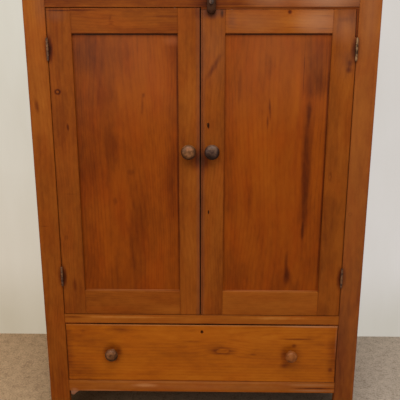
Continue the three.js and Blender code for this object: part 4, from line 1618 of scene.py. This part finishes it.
@dataclass
class Door:
    """One framed door: stiles, rails, panel, knob and what its meeting edge carries."""

    plan: Plan
    word: str
    side: float
    meeting: float
    meeting_width: float
    hinge_width: float = 0.072
    hinge_edge: float = 0.459
    knob_inset: float = 0.0345
    knob_height: float = 0.961
    knob_diameter: float = 0.047
    panel_recess: float = 0.008
    panel_thickness: float = 0.010
    panel_tongue: float = 0.009
    short: float = 0.0
    proud: float = 0.0004
    notch_depth: float = 0.0790
    notch_ease: float = 0.0006
    notch_foot: float = 0.0054
    notch_head: float = 0.0067
    edge_shade: float = 0.20
    # Where the painted shade beside the hinges lies, as a share of the hinge edge.
    hinge_shadow_share: float = 0.992
    knob_finish: TurnedFinish = PALE_KNOB

    def __post_init__(self) -> None:
        """Works out the door's body, its edges and its two faces."""
        self.body = f"{self.word}_door"
        self.outer = self.side * self.hinge_edge
        self.panel_outer = self.outer - self.side * self.hinge_width
        self.panel_inner = self.meeting + self.side * self.meeting_width
        self.meeting_edge = self.meeting - self.side * self.proud
        self.front = self.plan.face
        self.rear = self.plan.face + self.plan.door_thickness

    def board(self, part: str, x: Pair, z: Pair, grain: Axis, **more) -> Board:
        """One member of the frame.

        Args:
            part: the member's name within the door.
            x: its two edges.
            z: its two levels.
            grain: the axis along which its grain runs.
            more: its marks and its shade.

        Returns:
            The board, not yet built.
        """
        low = (min(x), self.front, min(z))
        high = (max(x), self.rear, max(z))
        name = f"{self.word}_door_{part}"
        return Board(name, self.body, low, high, Facing.FRONT, grain, FRAME_WOOD, **more)

    def build(self, marks: dict[str, tuple[Mark, ...]], shades: dict[str, float]) -> None:
        """Builds the door.

        Args:
            marks: the spots of each member.
            shades: how much darker each member is.
        """
        plan = self.plan
        top = plan.door_top - self.short
        rails = (self.panel_outer, self.panel_inner)
        # A painted highlight along the bottom rail's upper arris, under the panel.
        ledge_level = plan.panel_low - 0.0004
        ledge_highlight = Mark(sum(rails) / 2, ledge_level, 0.165, 0.0016, -0.16, soft=0.5, pale_wear_and_sheen=0.06, band=True)
        # Painted shade beside the hinges, on the hinge stile.
        hinge_shadow_marks = hinge_shadows(plan, self.outer * self.hinge_shadow_share)
        members = {
            "hinge_stile": ((self.outer, self.panel_outer), (plan.door_bottom, top), Axis.Z, hinge_shadow_marks),
            "top_rail": (rails, (plan.panel_high, top), Axis.X, ()),
            "bottom_rail": (rails, (plan.door_bottom, plan.panel_low), Axis.X, (ledge_highlight,)),
        }
        for part, (x, z, grain, common) in members.items():
            spots = marks.get(part, ()) + common
            board = self.board(part, x, z, grain, marks=spots, shade=shades.get(part, 0.0))
            if part == "hinge_stile":
                board.outline = self.stile_outline(board)
            board.build()
        level = (plan.door_bottom + plan.door_top) / 2
        near = self.meeting + self.side * 0.004
        # A rubbed band beside the meeting edge, darker, with painted sheen over it.
        rubbed = Mark(near, level, 0.0090, level, 0.08, pale_wear_and_sheen=0.06, soft=0.8, band=True)
        # A thin line of painted shade along the meeting gap.
        dark = Mark(self.meeting, level, 0.0012, level, 0.20, soft=0.5, rough=0.1, band=True)
        spots = marks.get("meeting_stile", ()) + (rubbed, dark)
        self.meeting_stile(spots, shades.get("meeting_stile", 0.0))
        self.panel(marks.get("panel", ()), shades.get("panel", 0.0))
        x = self.meeting + self.side * self.knob_inset
        name = f"{self.word}_door_knob"
        Knob(name, self.body, x, self.knob_height, self.knob_diameter, self.knob_finish).build()

    def stile_outline(self, board: Board) -> np.ndarray:
        """The hinge stile's outline, whose outer upper corner is cut back for the filler strip.

        Args:
            board: the stile.

        Returns:
            The outline, a plain rectangle where the door isn't short.
        """
        low = (board.low[0], board.low[2])
        high = (board.high[0], board.high[2])
        if not self.short:
            return rectangle(low, high, board.corner())
        notch = high[1] - self.notch_depth
        corners = [
            low, (high[0], low[1]), (high[0], notch), (high[0] - self.notch_foot, notch + self.notch_ease),
            (high[0] - self.notch_head, high[1]), (low[0], high[1]),
        ]
        return rounded_outline(corners, [board.corner()] * len(corners))

    def meeting_stile(self, marks: tuple[Mark, ...], shade: float) -> None:
        """The plain stile at the doors' meeting, with the strike plate's bed and the bolt's mortise.

        Args:
            marks: the spots on it.
            shade: how much darker it is.
        """
        plan = self.plan
        x = (self.meeting_edge, self.panel_inner)
        z = (plan.door_bottom, plan.door_top)
        stile = self.board("meeting_stile", x, z, Axis.Z, marks=marks, shade=shade).build()
        ease, room = plan.lock_ease, plan.bolt_room
        behind = (CUT_OVERRUN, CUT_OVERRUN, ease)
        pierce(stile, room_around("left_door_strike_plate", (0.0, ease, ease), behind))
        before = (plan.bolt_throw + 2 * room, room, room)
        pierce(stile, room_around("door_lock_bolt", before, (0.0, room, room)))

    def panel(self, marks: tuple[Mark, ...], shade: float) -> None:
        """The flat panel, whose tongues run into the frame's grooves.

        Args:
            marks: the spots on it.
            shade: how much darker it is.
        """
        plan, tongue = self.plan, self.panel_tongue
        x = sorted((self.panel_outer, self.panel_inner))
        front = self.front + self.panel_recess
        low = (x[0] - tongue, front, plan.panel_low - tongue)
        high = (x[1] + tongue, front + self.panel_thickness, plan.panel_high + tongue)
        Board(
            f"{self.word}_door_panel", self.body, low, high, Facing.FRONT, Axis.Z, PANEL_WOOD,
            marks=marks + self.panel_painted_light(x), shade=shade,
        ).build()

    def panel_painted_light(self, x: list[float]) -> tuple[Mark, ...]:
        """Painted shade in the corner between the panel and its frame, deepest at the top and the right.

        Args:
            x: the two edges of the panel's opening.

        Returns:
            The marks, with a painted highlight along the panel's foot and painted sheen over its upper part.
        """
        plan = self.plan
        middle = (x[0] + x[1]) / 2
        half = (x[1] - x[0]) / 2
        level = (plan.panel_low + plan.panel_high) / 2
        tall = (plan.panel_high - plan.panel_low) / 2
        return (
            # Painted shade along the top and both sides of the opening, a painted highlight along the foot,
            # and painted sheen over the upper part.
            Mark(middle, plan.panel_high, half, 0.0050, 0.45, soft=0.6, rough=0.2, band=True),
            Mark(x[1], level, 0.0065, tall, self.edge_shade, soft=0.7, rough=0.2, band=True),
            Mark(x[0], level, 0.0450, tall, 0.09, soft=1.0, band=True),
            Mark(middle, plan.panel_low + 0.0006, half, 0.0020, -0.30, soft=0.5, pale_wear_and_sheen=0.25, band=True),
            Mark(middle, plan.panel_high, half, 0.2400, pale_wear_and_sheen=0.07, soft=1.0, rough=0.1, band=True),
        )


@dataclass
class LockedDoor(Door):
    """The right door, whose meeting stile has a bead, a keyhole and the lock behind it."""

    bead: float = 0.005
    quirk: float = 0.0016
    quirk_depth: float = 0.002
    lock_height: float = 1.045
    lock_width: float = 0.042
    short: float = 0.0045
    edge_shade: float = 0.26
    knob_finish: TurnedFinish = DARK_KNOB
    edge_radius: float = 0.0022
    bead_radius: float = 0.0018
    quirk_radii: Pair = (0.0001, 0.0001)
    board_radius: float = 0.0006
    back_radius: float = 0.0010
    end_arris: float = 0.00009

    def meeting_stile(self, marks: tuple[Mark, ...], shade: float) -> None:
        """The beaded stile: its cross-section carried from the door's bottom to its top, then pierced.

        Args:
            marks: the spots on it.
            shade: how much darker it is.
        """
        plan, front, rear = self.plan, self.front, self.rear
        edge, far = self.meeting_edge, self.panel_inner
        span = (plan.door_bottom, plan.door_top - self.short)
        board = self.board("meeting_stile", (edge, far), span, Axis.Z, marks=marks, shade=shade)
        quirk = edge + self.bead
        flat = quirk + self.quirk
        sunk = front + self.quirk_depth
        corners = [
            (edge, front), (quirk, front), (quirk, sunk), (flat, sunk), (flat, front),
            (far, front), (far, rear), (edge, rear),
        ]
        radii = [self.edge_radius, self.bead_radius, *self.quirk_radii, self.board_radius]
        radii = radii + [self.back_radius] * 3
        shape = slab(rounded_outline(corners, radii), *span, self.end_arris, 1)
        slot, wood = board.finish.slot, board.material()
        piece = make(f"{board.name}_piece", shape, self.body, (board.name,), wood)
        x = self.meeting + self.lock_width / 2
        pierce(piece, Keyhole().shape(x, front, self.lock_height))
        ease = plan.lock_ease
        bed = room_around("door_lock_case", (CUT_OVERRUN, ease, ease), (ease, CUT_OVERRUN, ease))
        pierce(piece, bed)


@dataclass
class TurnButton:
    """A wooden bar with two round ends that turns on a slotted screw, each on its own body.

    outward is -1 where it looks towards the front and +1 where it looks towards the back.
    """

    name: str
    screw_body: str
    centre: Triple
    length: float
    width: float
    thickness: float
    standoff: float
    outward: float
    upright: bool
    marks: tuple[Mark, ...] = ()
    arris: float = 0.0026
    head: SlottedHead = SlottedHead(0.0068, 0.0016, 0.0014)
    head_lift: float = 0.0012
    shank: float = 0.0026
    shank_length: float = 0.013
    point_length: float = 0.017
    point_share: float = 0.4

    def build(self) -> None:
        """Builds the bar and its screw."""
        radius = self.width / 2
        straight = self.length / 2 - radius
        angle = np.linspace(0.0, math.pi, 20)
        upper = np.stack([radius * np.cos(angle), straight + radius * np.sin(angle)], axis=1)
        top = self.standoff + self.thickness
        bar = slab(np.vstack([upper, -upper]), self.standoff, top, self.arris, 5)
        up, right = (0.0, 0.0, 1.0), (1.0, 0.0, 0.0)
        along, across, grain = (up, right, Axis.Z) if self.upright else (right, up, Axis.X)
        out = (0.0, self.outward, 0.0)
        bar = bar.mapped(across, along, out).shifted(*self.centre)
        wood = BUTTON_WOOD.dress(f"{self.name}_wood", *bar.box(), grain, seed_of(self.name), self.marks)
        make(f"{self.name}_piece", bar, self.name, (self.name,), wood, smooth=35.0)
        point = [self.shank * self.point_share, -self.point_length]
        shank = turned(np.array([point, [self.shank, -self.shank_length], [self.shank, top]]), 20)
        head = self.head.shape().shifted(0.0, 0.0, top + self.head_lift)
        screw = (shank + head).mapped(across, along, out).shifted(*self.centre)
        name = f"{self.name}_screw"
        metal = DARK_IRON.dress(f"{name}_metal", seed_of(name))
        make(f"{name}_piece", screw, self.screw_body, (name,), metal, smooth=40.0)


@dataclass
class Drawer:
    """The wide drawer: a lapped dovetailed box with a keyhole and two knobs."""

    plan: Plan
    knob_spread: float = 0.304
    knob_rise: float = 0.112
    knob_diameters: Pair = (0.0440, 0.0402)
    front_arris: float = 0.0011
    front_seed: int = 77
    side_arris: float = 0.0007
    bottom_arris: float = 0.0006
    edge_drop: float = 0.0010

    def build(self, marks: tuple[Mark, ...]) -> None:
        """Builds the drawer's box, its front and its knobs.

        Args:
            marks: the spots on the front, which the painted highlights along its top and right arrises
                follow.
        """
        low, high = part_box("drawer_front")
        upper = high[2] - self.edge_drop
        # Painted highlights along the front's top and right arrises, with painted sheen.
        edges = (
            Mark(0.0, upper, 0.46, 0.0022, -0.22, soft=0.5, band=True, pale_wear_and_sheen=0.22),
            Mark(0.3900, upper - self.edge_drop, 0.1300, 0.0040, -0.05, soft=0.7, pale_wear_and_sheen=0.34),
            Mark(0.4560, 0.3100, 0.0024, 0.0600, pale_wear_and_sheen=0.16, soft=0.7),
        )
        box = (tuple(low), tuple(high))
        wood = DRAWER_WOOD.dress("drawer_front_wood", *box, Axis.X, self.front_seed, marks + edges)
        eased_copy("drawer_front", "drawer", wood, self.front_arris)
        level = self.plan.drawer_sill + self.knob_rise
        for (word, side), diameter in zip(SIDES.items(), self.knob_diameters):
            name = f"{word}_drawer_side"
            bare = inner(name, "drawer", Axis.Y, Facing.SIDE).material()
            eased_copy(name, "drawer", bare, self.side_arris)
            finish = WORN_KNOB if side < 0 else WARM_KNOB
            x = side * self.knob_spread
            Knob(f"{word}_drawer_knob", "drawer", x, level, diameter, finish).build()
        inner("drawer_back", "drawer", Axis.X, Facing.FRONT).build()
        inner("drawer_bottom", "drawer", Axis.X, Facing.LEVEL, self.bottom_arris).build()


@dataclass
class Hardware:
    """Locks, bolts and the strike plate, which keep the frame's own solids under worn metal."""

    brass: tuple[str, ...] = ("door_lock_case", "drawer_lock_case", "left_door_strike_plate")
    steel: tuple[str, ...] = ("door_lock_bolt", "drawer_lock_bolt")

    def build(self) -> None:
        """Gives each solid its metal."""
        for names, finish in ((self.brass, OLD_BRASS), (self.steel, WORN_STEEL)):
            for name in names:
                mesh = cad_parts[name].data
                mesh.materials.clear()
                mesh.materials.append(finish.dress(f"{name}_metal", seed_of(name)))
                log.info("%s: metal on the frame's own solid", name)


@dataclass(frozen=True)
class Lamp:
    """One soft rectangular lamp that looks at a point."""

    name: str
    at: Triple
    towards: Triple
    size: Pair
    power: float

    def build(self) -> None:
        """Hangs the lamp."""
        data = bpy.data.lights.new(self.name, "AREA")
        data.shape = "RECTANGLE"
        data.size, data.size_y = self.size
        data.energy = self.power
        lamp = linked(self.name, data)
        lamp.location = self.at
        lamp.rotation_mode = "QUATERNION"
        lamp.rotation_quaternion = (Vector(self.towards) - Vector(self.at)).to_track_quat("-Z", "Y")


@dataclass
class Studio:
    """Floor, wall, camera and lamps, whose colours change from the left to the right."""

    plan: Plan
    reach: float = 9.0
    sideways: Pair = (-0.6, 0.6)
    wall_behind: float = 0.62
    wall_height: float = 4.0
    wall_low: Colour = (213, 201, 183)
    # The colours of the painted shade along the wall's foot.
    wall_foot_shade_left: Colour = (173, 158, 128)
    wall_foot_shade_right: Colour = (186, 180, 163)
    wall_left: Colour = (218, 213, 200)
    wall_right: Colour = (217, 212, 207)
    wall_rise: float = 1.6
    wall_foot_shade_rise: float = 0.40
    wall_glow: float = 0.85
    floor_left: Colour = (232, 198, 158)
    floor_right: Colour = (232, 216, 198)
    # Painted shade of the carpet under the cupboard, and in front of it.
    painted_under_shade_colour: Colour = (176, 168, 160)
    painted_under_shade_strength: float = 0.8
    painted_near_shade: float = 0.955
    backwards: Pair = (-0.12, 0.30)
    matt: float = 0.95
    focal_length: float = 54.0
    film_width: float = 36.0
    camera_at: Triple = (0.0279, -2.0487, 1.305)
    camera_down: float = 15.24
    camera_turn: float = 1.0
    sky: Colour = (236, 234, 230)
    sky_strength: float = 0.55
    lamps: tuple[Lamp, ...] = (
        Lamp("key", (0.15, -1.9, 3.1), (0.0, -0.2, 0.9), (2.4, 1.4), 52.0),
        Lamp("fill", (-1.9, -2.4, 1.6), (0.0, -0.2, 0.7), (1.6, 1.6), 12.0),
        Lamp("rear", (0.6, 2.6, 2.4), (0.0, 0.2, 0.8), (2.0, 1.4), 30.0),
    )

    def flat(self, name: str, points: list[Triple]) -> Nodes:
        """Adds a flat stage piece.

        Args:
            name: the piece's name.
            points: its four corners.

        Returns:
            The empty tree of its paint.
        """
        mesh = bpy.data.meshes.new(name)
        mesh.from_pydata(points, [], [[0, 1, 2, 3]])
        nodes = Nodes(f"{name}_paint")
        mesh.materials.append(nodes.material)
        piece = linked(name, mesh)
        return nodes

    def floor(self) -> None:
        """A looped carpet, greyer towards the right, with painted shade in front and under the cupboard."""
        far = self.reach
        nodes = self.flat("floor", [(-far, -far, 0.0), (far, -far, 0.0), (far, far, 0.0), (-far, far, 0.0)])
        x, y, z = nodes.place()
        point = nodes.together(x, y, z)
        tuft = nodes.noise(point, 150.0, 2.0, 0.6) - 0.5
        patch = nodes.noise(point, 34.0, 3.0, 0.6) - 0.5
        rightwards = x.fade(*self.sideways)
        colours = (self.floor_left, self.floor_right)
        # Painted shade: the carpet is dimmed towards the front.
        dimmed = [tuple(part * self.painted_near_shade for part in colour) for colour in colours]
        front = nodes.mix(rightwards, *dimmed)
        back = nodes.mix(rightwards, *colours)
        side = nodes.mix(y.fade(*self.backwards), front, back)
        tone = 0.5 + tuft * 1.2 + patch * 0.8
        shade = nodes.ramp(tone, [(0.0, (150, 140, 130)), (0.5, (222, 220, 216)), (1.0, (255, 255, 255))])
        nodes.relief(tuft + patch, 0.5, 0.002)
        carpet = nodes.mix(1.0, side, shade, "MULTIPLY")
        # Painted shade under the cupboard.
        inset = (x.size() - self.plan.half_width).most(self.plan.face - y).most(y - self.plan.back)
        painted_under_shade = 1 - inset.fade(-0.05, 0.0)
        carpet = nodes.mix(painted_under_shade * self.painted_under_shade_strength, carpet, self.painted_under_shade_colour, "MULTIPLY")
        nodes.rest(Base_Color=carpet, Roughness=self.matt, Specular_IOR_Level=0.1)

    def wall(self) -> None:
        """A pale wall that shows its own colour, and that is clear from behind, so it hides nothing."""
        far, top = self.reach, self.wall_height
        depth = self.plan.face + self.wall_behind
        corners = [(-far, depth, 0.0), (far, depth, 0.0), (far, depth, top), (-far, depth, top)]
        nodes = self.flat("wall", corners)
        x, y, z = nodes.place()
        cloud = nodes.noise(nodes.together(x * 3.0, y, z), 3.0, 3.0) - 0.5
        rightwards = x.fade(*self.sideways)
        left = nodes.mix(z.fade(0.0, self.wall_rise), self.wall_low, self.wall_left)
        tint = nodes.mix(rightwards, left, self.wall_right)
        # Painted shade along the wall's foot, by the floor.
        painted_foot_shade_mix = z.fade(0.0, self.wall_foot_shade_rise) * 0.5 + cloud * 0.3 + 0.45
        foot = nodes.mix(rightwards, self.wall_foot_shade_left, self.wall_foot_shade_right)
        paint = nodes.mix(painted_foot_shade_mix, foot, tint)
        nodes.rest(Base_Color=paint, Roughness=self.matt, Specular_IOR_Level=0.0)
        dark = {"Base Color": linear((0, 0, 0)), "Roughness": 1.0, "Specular IOR Level": 0.0}
        light = {"Emission Color": paint, "Emission Strength": 1.0}
        glow = nodes.node("ShaderNodeBsdfPrincipled", {}, dark | light)
        path = nodes.node("ShaderNodeLightPath", {}, {})
        kinds = ("Camera", "Glossy", "Transmission")
        camera, glossy, through = (Signal(nodes, path.outputs[f"Is {kind} Ray"]) for kind in kinds)
        shown = camera.most(glossy).most(through) * self.wall_glow
        mixed = {0: shown, 1: nodes.shader.outputs[0], 2: glow.outputs[0]}
        lit = nodes.node("ShaderNodeMixShader", {}, mixed)
        behind = nodes.node("ShaderNodeNewGeometry", {}, {}).outputs["Backfacing"]
        clear = nodes.node("ShaderNodeBsdfTransparent", {}, {})
        mixed = {0: behind, 1: lit.outputs[0], 2: clear.outputs[0]}
        blend = nodes.node("ShaderNodeMixShader", {}, mixed)
        nodes.feed(nodes.output.inputs["Surface"], blend.outputs[0])

    def camera(self) -> None:
        """The camera of the photograph: 600 pixels of focal length over 400, 15.2 degrees down."""
        data = bpy.data.cameras.new("camera")
        data.lens = self.focal_length
        data.sensor_width = self.film_width
        data.clip_end = 50.0
        camera = linked("camera", data)
        camera.location = self.camera_at
        camera.rotation_euler = (math.radians(90 - self.camera_down), 0.0, math.radians(self.camera_turn))
        bpy.context.scene.camera = camera

    def sky_light(self) -> None:
        """An even light from all sides, and colours shown as they are."""
        scene = bpy.context.scene
        scene.view_settings.view_transform = "Standard"
        scene.world = bpy.data.worlds.new("studio")
        scene.world.use_nodes = True
        background = scene.world.node_tree.nodes["Background"]
        background.inputs["Color"].default_value = linear(self.sky)
        background.inputs["Strength"].default_value = self.sky_strength

    def build(self) -> None:
        """Builds the stage, the camera and the light."""
        self.floor()
        self.wall()
        self.camera()
        self.sky_light()
        for lamp in self.lamps:
            lamp.build()


LEFT_MARKS = {
    "meeting_stile": (
        # The turn button's painted shadow near the top, and the knobs' painted shadow below them.
        Mark(-0.0120, 1.3740, 0.0200, 0.0200, 0.12, soft=1.0),
        Mark(-0.0150, 0.9330, 0.0220, 0.0320, 0.30, soft=1.0),
    ),
    "hinge_stile": (
        Mark(-0.4383, 1.1423, 0.0105, 0.0095, 0.34, ring=0.55, soft=0.5, rough=0.25),
        Mark(-0.4125, 1.0343, 0.0042, 0.0120, 0.26, tilt=0.1, soft=0.7),
        Mark(-0.4203, 0.5060, 0.0085, 0.0220, 0.17),
        Mark(-0.4388, 0.6736, 0.0080, 0.0100, 0.10, bend=0.004, soft=0.7),
        Mark(-0.4154, 0.8209, 0.0220, 0.0016, 0.10),
        Mark(-0.4180, 1.3790, 0.0420, 0.0025, 0.30),
        # Painted sheen near the stile's top.
        Mark(-0.4300, 1.3650, 0.0300, 0.0180, 0.06, pale_wear_and_sheen=0.08, soft=1.0),
    ),
    "top_rail": (
        Mark(-0.2670, 1.3443, 0.0080, 0.0060, 0.10, bend=0.004),
        Mark(-0.2700, 1.3560, 0.0035, 0.0120, 0.09, tilt=-0.3),
        Mark(-0.3500, 1.3800, 0.0500, 0.0030, 0.22),
        Mark(-0.1072, 1.3620, 0.0500, 0.0050, 0.14),
        Mark(-0.2000, 1.3380, 0.0800, 0.0100, -0.08),
    ),
    "bottom_rail": (
        Mark(-0.1150, 0.4220, 0.0500, 0.0200, -0.13, soft=1.0),
    ),
    "panel": (
        Mark(-0.1770, 1.1320, 0.0050, 0.0080, 0.18),
        Mark(-0.2350, 1.2600, 0.0500, 0.0600, 0.05, soft=1.0),
        # Painted sheen near the panel's upper corners.
        Mark(-0.0844, 1.2940, 0.0300, 0.0150, -0.13, pale_wear_and_sheen=0.08, soft=1.0),
        Mark(-0.3500, 1.2700, 0.0600, 0.0700, 0.06, pale_wear_and_sheen=0.03, soft=1.0),
        Mark(-0.1821, 1.1000, 0.0050, 0.0330, 0.12, tilt=-0.08),
        Mark(-0.1700, 1.1100, 0.0800, 0.2100, -0.12, soft=1.0),
        Mark(-0.3286, 1.2500, 0.0550, 0.0600, 0.07),
        Mark(-0.2934, 1.1500, 0.0300, 0.0800, 0.06, soft=1.0, rough=0.9),
        Mark(-0.2800, 0.9673, 0.0220, 0.0750, 0.10, rough=0.4),
        Mark(-0.0944, 0.8300, 0.0220, 0.1700, 0.09, soft=1.0),
        Mark(-0.2227, 0.8906, 0.0120, 0.0100, 0.08, rough=0.7, soft=0.7),
        Mark(-0.2770, 0.7957, 0.0070, 0.0130, 0.12, rough=0.8, soft=0.7),
        Mark(-0.2218, 0.5946, 0.0200, 0.0450, 0.03, rough=1.0),
        Mark(-0.3100, 0.6800, 0.0300, 0.1400, -0.08, soft=1.0),
    ),
}
RIGHT_MARKS = {
    "meeting_stile": (
        Mark(0.0377, 1.2178, 0.0080, 0.0430, 0.20, tilt=-0.53, rough=0.5),
        Mark(0.0229, 0.7630, 0.0024, 0.0070, 0.60, soft=0.6),
        Mark(0.0219, 1.0400, 0.0030, 0.0100, 0.45, soft=0.6),
        Mark(0.0602, 1.3697, 0.0050, 0.0120, 0.25),
        # The turn button's painted shadow under it, painted sheen on the stile's upper part, and the knobs'
        # painted shadow below them.
        Mark(0.0240, 1.3700, 0.0190, 0.0170, 0.18, soft=1.0),
        Mark(0.0350, 1.2700, 0.0500, 0.1200, pale_wear_and_sheen=0.06, soft=1.0),
        Mark(0.0080, 0.9330, 0.0180, 0.0320, 0.20, soft=1.0),
        Mark(0.0400, 1.3760, 0.0400, 0.0180, 0.22, pale_wear_and_sheen=0.08, soft=1.0),
    ),
    "top_rail": (
        Mark(0.2590, 1.3740, 0.0070, 0.0060, 0.45, bend=0.006, soft=0.7),
        # Painted light and painted sheen over the rail's right part.
        Mark(0.3000, 1.3480, 0.0600, 0.0330, -0.10),
        Mark(0.2200, 1.3480, 0.1500, 0.0400, -0.10),
        Mark(0.3450, 1.3480, 0.0700, 0.0400, pale_wear_and_sheen=0.37),
        Mark(0.3614, 1.3640, 0.0300, 0.0016, 0.22),
        Mark(0.3614, 1.3600, 0.0300, 0.0010, 0.16),
        Mark(0.3634, 1.3274, 0.0300, 0.0018, 0.20),
        Mark(0.2800, 1.3310, 0.0400, 0.0020, 0.14),
        # Darker places with painted sheen over them.
        Mark(0.0900, 1.3500, 0.0150, 0.0300, 0.14, pale_wear_and_sheen=0.06, soft=1.0),
        Mark(0.1500, 1.3480, 0.0900, 0.0400, 0.07, pale_wear_and_sheen=0.10, soft=1.0),
    ),
    "hinge_stile": (
        Mark(0.4425, 1.2080, 0.0095, 0.0100, 0.26, tilt=-0.4),
        Mark(0.4440, 1.2260, 0.0080, 0.0120, 0.22),
        # A darker place by the upper hinge, with painted sheen over it.
        Mark(0.4350, 1.2400, 0.0320, 0.0550, 0.13, pale_wear_and_sheen=0.06, soft=1.0),
        Mark(0.4035, 0.8795, 0.0060, 0.0180, 0.13, ring=0.5, rough=0.9, soft=0.7),
        Mark(0.4175, 1.3528, 0.0200, 0.0080, 0.10),
        Mark(0.4111, 0.8500, 0.0220, 0.0450, -0.12, soft=1.0),
        # Painted sheen near the stile's top.
        Mark(0.4200, 1.3400, 0.0500, 0.0500, pale_wear_and_sheen=0.20, soft=1.0),
        Mark(0.4360, 1.3600, 0.0200, 0.0250, 0.12, soft=1.0),
        Mark(0.4520, 1.3350, 0.0130, 0.0600, 0.14, soft=1.0),
    ),
    "panel": (
        Mark(0.3290, 0.9000, 0.0190, 0.2500, 0.22, soft=0.8, rough=0.1),
        Mark(0.3290, 0.8600, 0.0080, 0.1700, 0.08, rough=0.2),
        Mark(0.3290, 1.0850, 0.0080, 0.0280, 0.14, rough=0.6, soft=0.7),
        Mark(0.3265, 0.7000, 0.0060, 0.0300, 0.16, rough=0.6, soft=0.7),
        # Painted sheen near the panel's upper right corner.
        Mark(0.3500, 1.2600, 0.0500, 0.0700, pale_wear_and_sheen=0.03, soft=1.0),
        Mark(0.3490, 1.2150, 0.0420, 0.0900, 0.13, soft=0.35, rough=0.1, band=True),
        Mark(0.3090, 1.2150, 0.0012, 0.1000, 0.18, rough=0.1, soft=0.7),
        Mark(0.2828, 0.5400, 0.0130, 0.0330, 0.28, rough=0.3),
        Mark(0.2780, 0.5900, 0.0060, 0.0450, 0.14),
        Mark(0.2102, 1.0900, 0.0042, 0.0380, 0.26, tilt=0.06),
        Mark(0.2040, 1.0500, 0.0035, 0.0220, 0.24),
        Mark(0.1166, 1.1600, 0.0060, 0.0600, 0.10),
        Mark(0.2063, 1.2115, 0.0160, 0.0400, 0.08, rough=1.4),
        Mark(0.2900, 1.1500, 0.0180, 0.0900, -0.14, soft=1.0),
        Mark(0.2000, 1.0000, 0.1100, 0.2600, -0.06, soft=1.0),
        Mark(0.1552, 0.7990, 0.0080, 0.0700, 0.08),
        Mark(0.1600, 0.5300, 0.0900, 0.0500, 0.06, soft=1.0),
        Mark(0.0860, 0.7000, 0.0160, 0.0600, -0.13, soft=1.0),
        Mark(0.3090, 0.5000, 0.0200, 0.0260, 0.14, soft=1.0),
    ),
}
DRAWER_MARKS = (
    Mark(0.0025, 0.3400, 0.0052, 0.0056, 0.55, soft=0.6),
    Mark(0.0720, 0.2690, 0.0480, 0.0170, 0.21, ring=0.55, bend=0.014, soft=0.75, rough=0.3),
    Mark(0.0720, 0.2690, 0.0300, 0.0060, 0.10),
    Mark(0.1150, 0.2590, 0.0300, 0.0016, 0.18),
    Mark(0.1770, 0.2574, 0.0120, 0.0050, 0.14),
    Mark(0.3209, 0.3153, 0.0600, 0.0038, 0.28),
    Mark(0.4425, 0.2000, 0.0080, 0.0080, 0.18),
    Mark(-0.4010, 0.3400, 0.0080, 0.0070, 0.07),
    Mark(-0.0315, 0.3050, 0.0400, 0.0035, 0.08),
    # Painted shade and grime round the left knob.
    Mark(-0.3040, 0.2580, 0.0310, 0.0330, 0.16, soft=0.7),
    Mark(-0.4000, 0.2500, 0.1100, 0.1200, 0.10, soft=1.0),
    Mark(0.4100, 0.2500, 0.1000, 0.1200, 0.06, soft=1.0),
    Mark(-0.3290, 0.2660, 0.0110, 0.0150, 0.10),
    Mark(-0.2810, 0.2700, 0.0110, 0.0150, 0.12),
    # Painted shadow under the left knob.
    Mark(-0.3040, 0.2330, 0.0280, 0.0120, 0.16),
    # Painted shade and grime round the right knob, and its painted shadow at its left.
    Mark(0.3040, 0.2580, 0.0360, 0.0400, 0.15, soft=1.0),
    Mark(0.2820, 0.2560, 0.0120, 0.0230, 0.10),
    Mark(0.3154, 0.2900, 0.0090, 0.0070, 0.18),
    # Painted shadow under the right knob.
    Mark(0.2850, 0.2180, 0.0160, 0.0140, 0.15),
    Mark(-0.1500, 0.1650, 0.3000, 0.0080, -0.10, soft=1.0),
    Mark(0.0000, 0.2600, 0.1500, 0.0900, 0.03, soft=1.0),
    Mark(0.4520, 0.2600, 0.0220, 0.1300, 0.13, soft=1.0),
    Mark(-0.4560, 0.2600, 0.0180, 0.1300, 0.10, soft=1.0),
    Mark(-0.4300, 0.1900, 0.0600, 0.0600, 0.11, soft=1.0),
    Mark(-0.2757, 0.3500, 0.0450, 0.0220, 0.20, soft=1.0),
)
BUTTON_MARKS = (
    # Painted shade on the bar's lower end, and a painted highlight just above it.
    Mark(0.0290, 1.3660, 0.0300, 0.0150, 0.26, soft=0.3, band=True),
    Mark(0.0290, 1.3770, 0.0050, 0.0035, -0.16),
    Mark(0.0270, 1.3934, 0.0050, 0.0060, 0.20),
)


def main() -> None:
    """Builds the cupboard and the studio."""
    plan = Plan()
    Studio(plan).build()
    Case(plan).build()
    Door(plan, "left", -1.0, meeting=-0.0045, meeting_width=0.066).build(
        LEFT_MARKS, {"panel": 0.07, "top_rail": 0.06, "hinge_stile": 0.04, "meeting_stile": 0.01},
    )
    LockedDoor(plan, "right", 1.0, meeting=-0.0015, meeting_width=0.072).build(
        RIGHT_MARKS, {"top_rail": -0.05, "bottom_rail": -0.1, "meeting_stile": 0.02},
    )
    FillerStrip(plan).build()
    for word, side in SIDES.items():
        for place in plan.hinge_levels:
            Hinge(plan, side, word, place).build()
    TurnButton(
        "turn_button", "case", centre=(0.029, plan.face, 1.4025), length=0.069, width=0.026,
        thickness=0.010, standoff=0.0006, outward=-1.0, upright=True, marks=BUTTON_MARKS,
    ).build()
    TurnButton(
        "left_door_catch", "left_door", centre=(-0.0375, plan.face + plan.door_thickness, 1.370),
        length=0.060, width=0.022, thickness=0.009, standoff=0.0026, outward=1.0, upright=False,
    ).build()
    Drawer(plan).build(DRAWER_MARKS)
    Hardware().build()


if __name__ == "__main__":
    main()
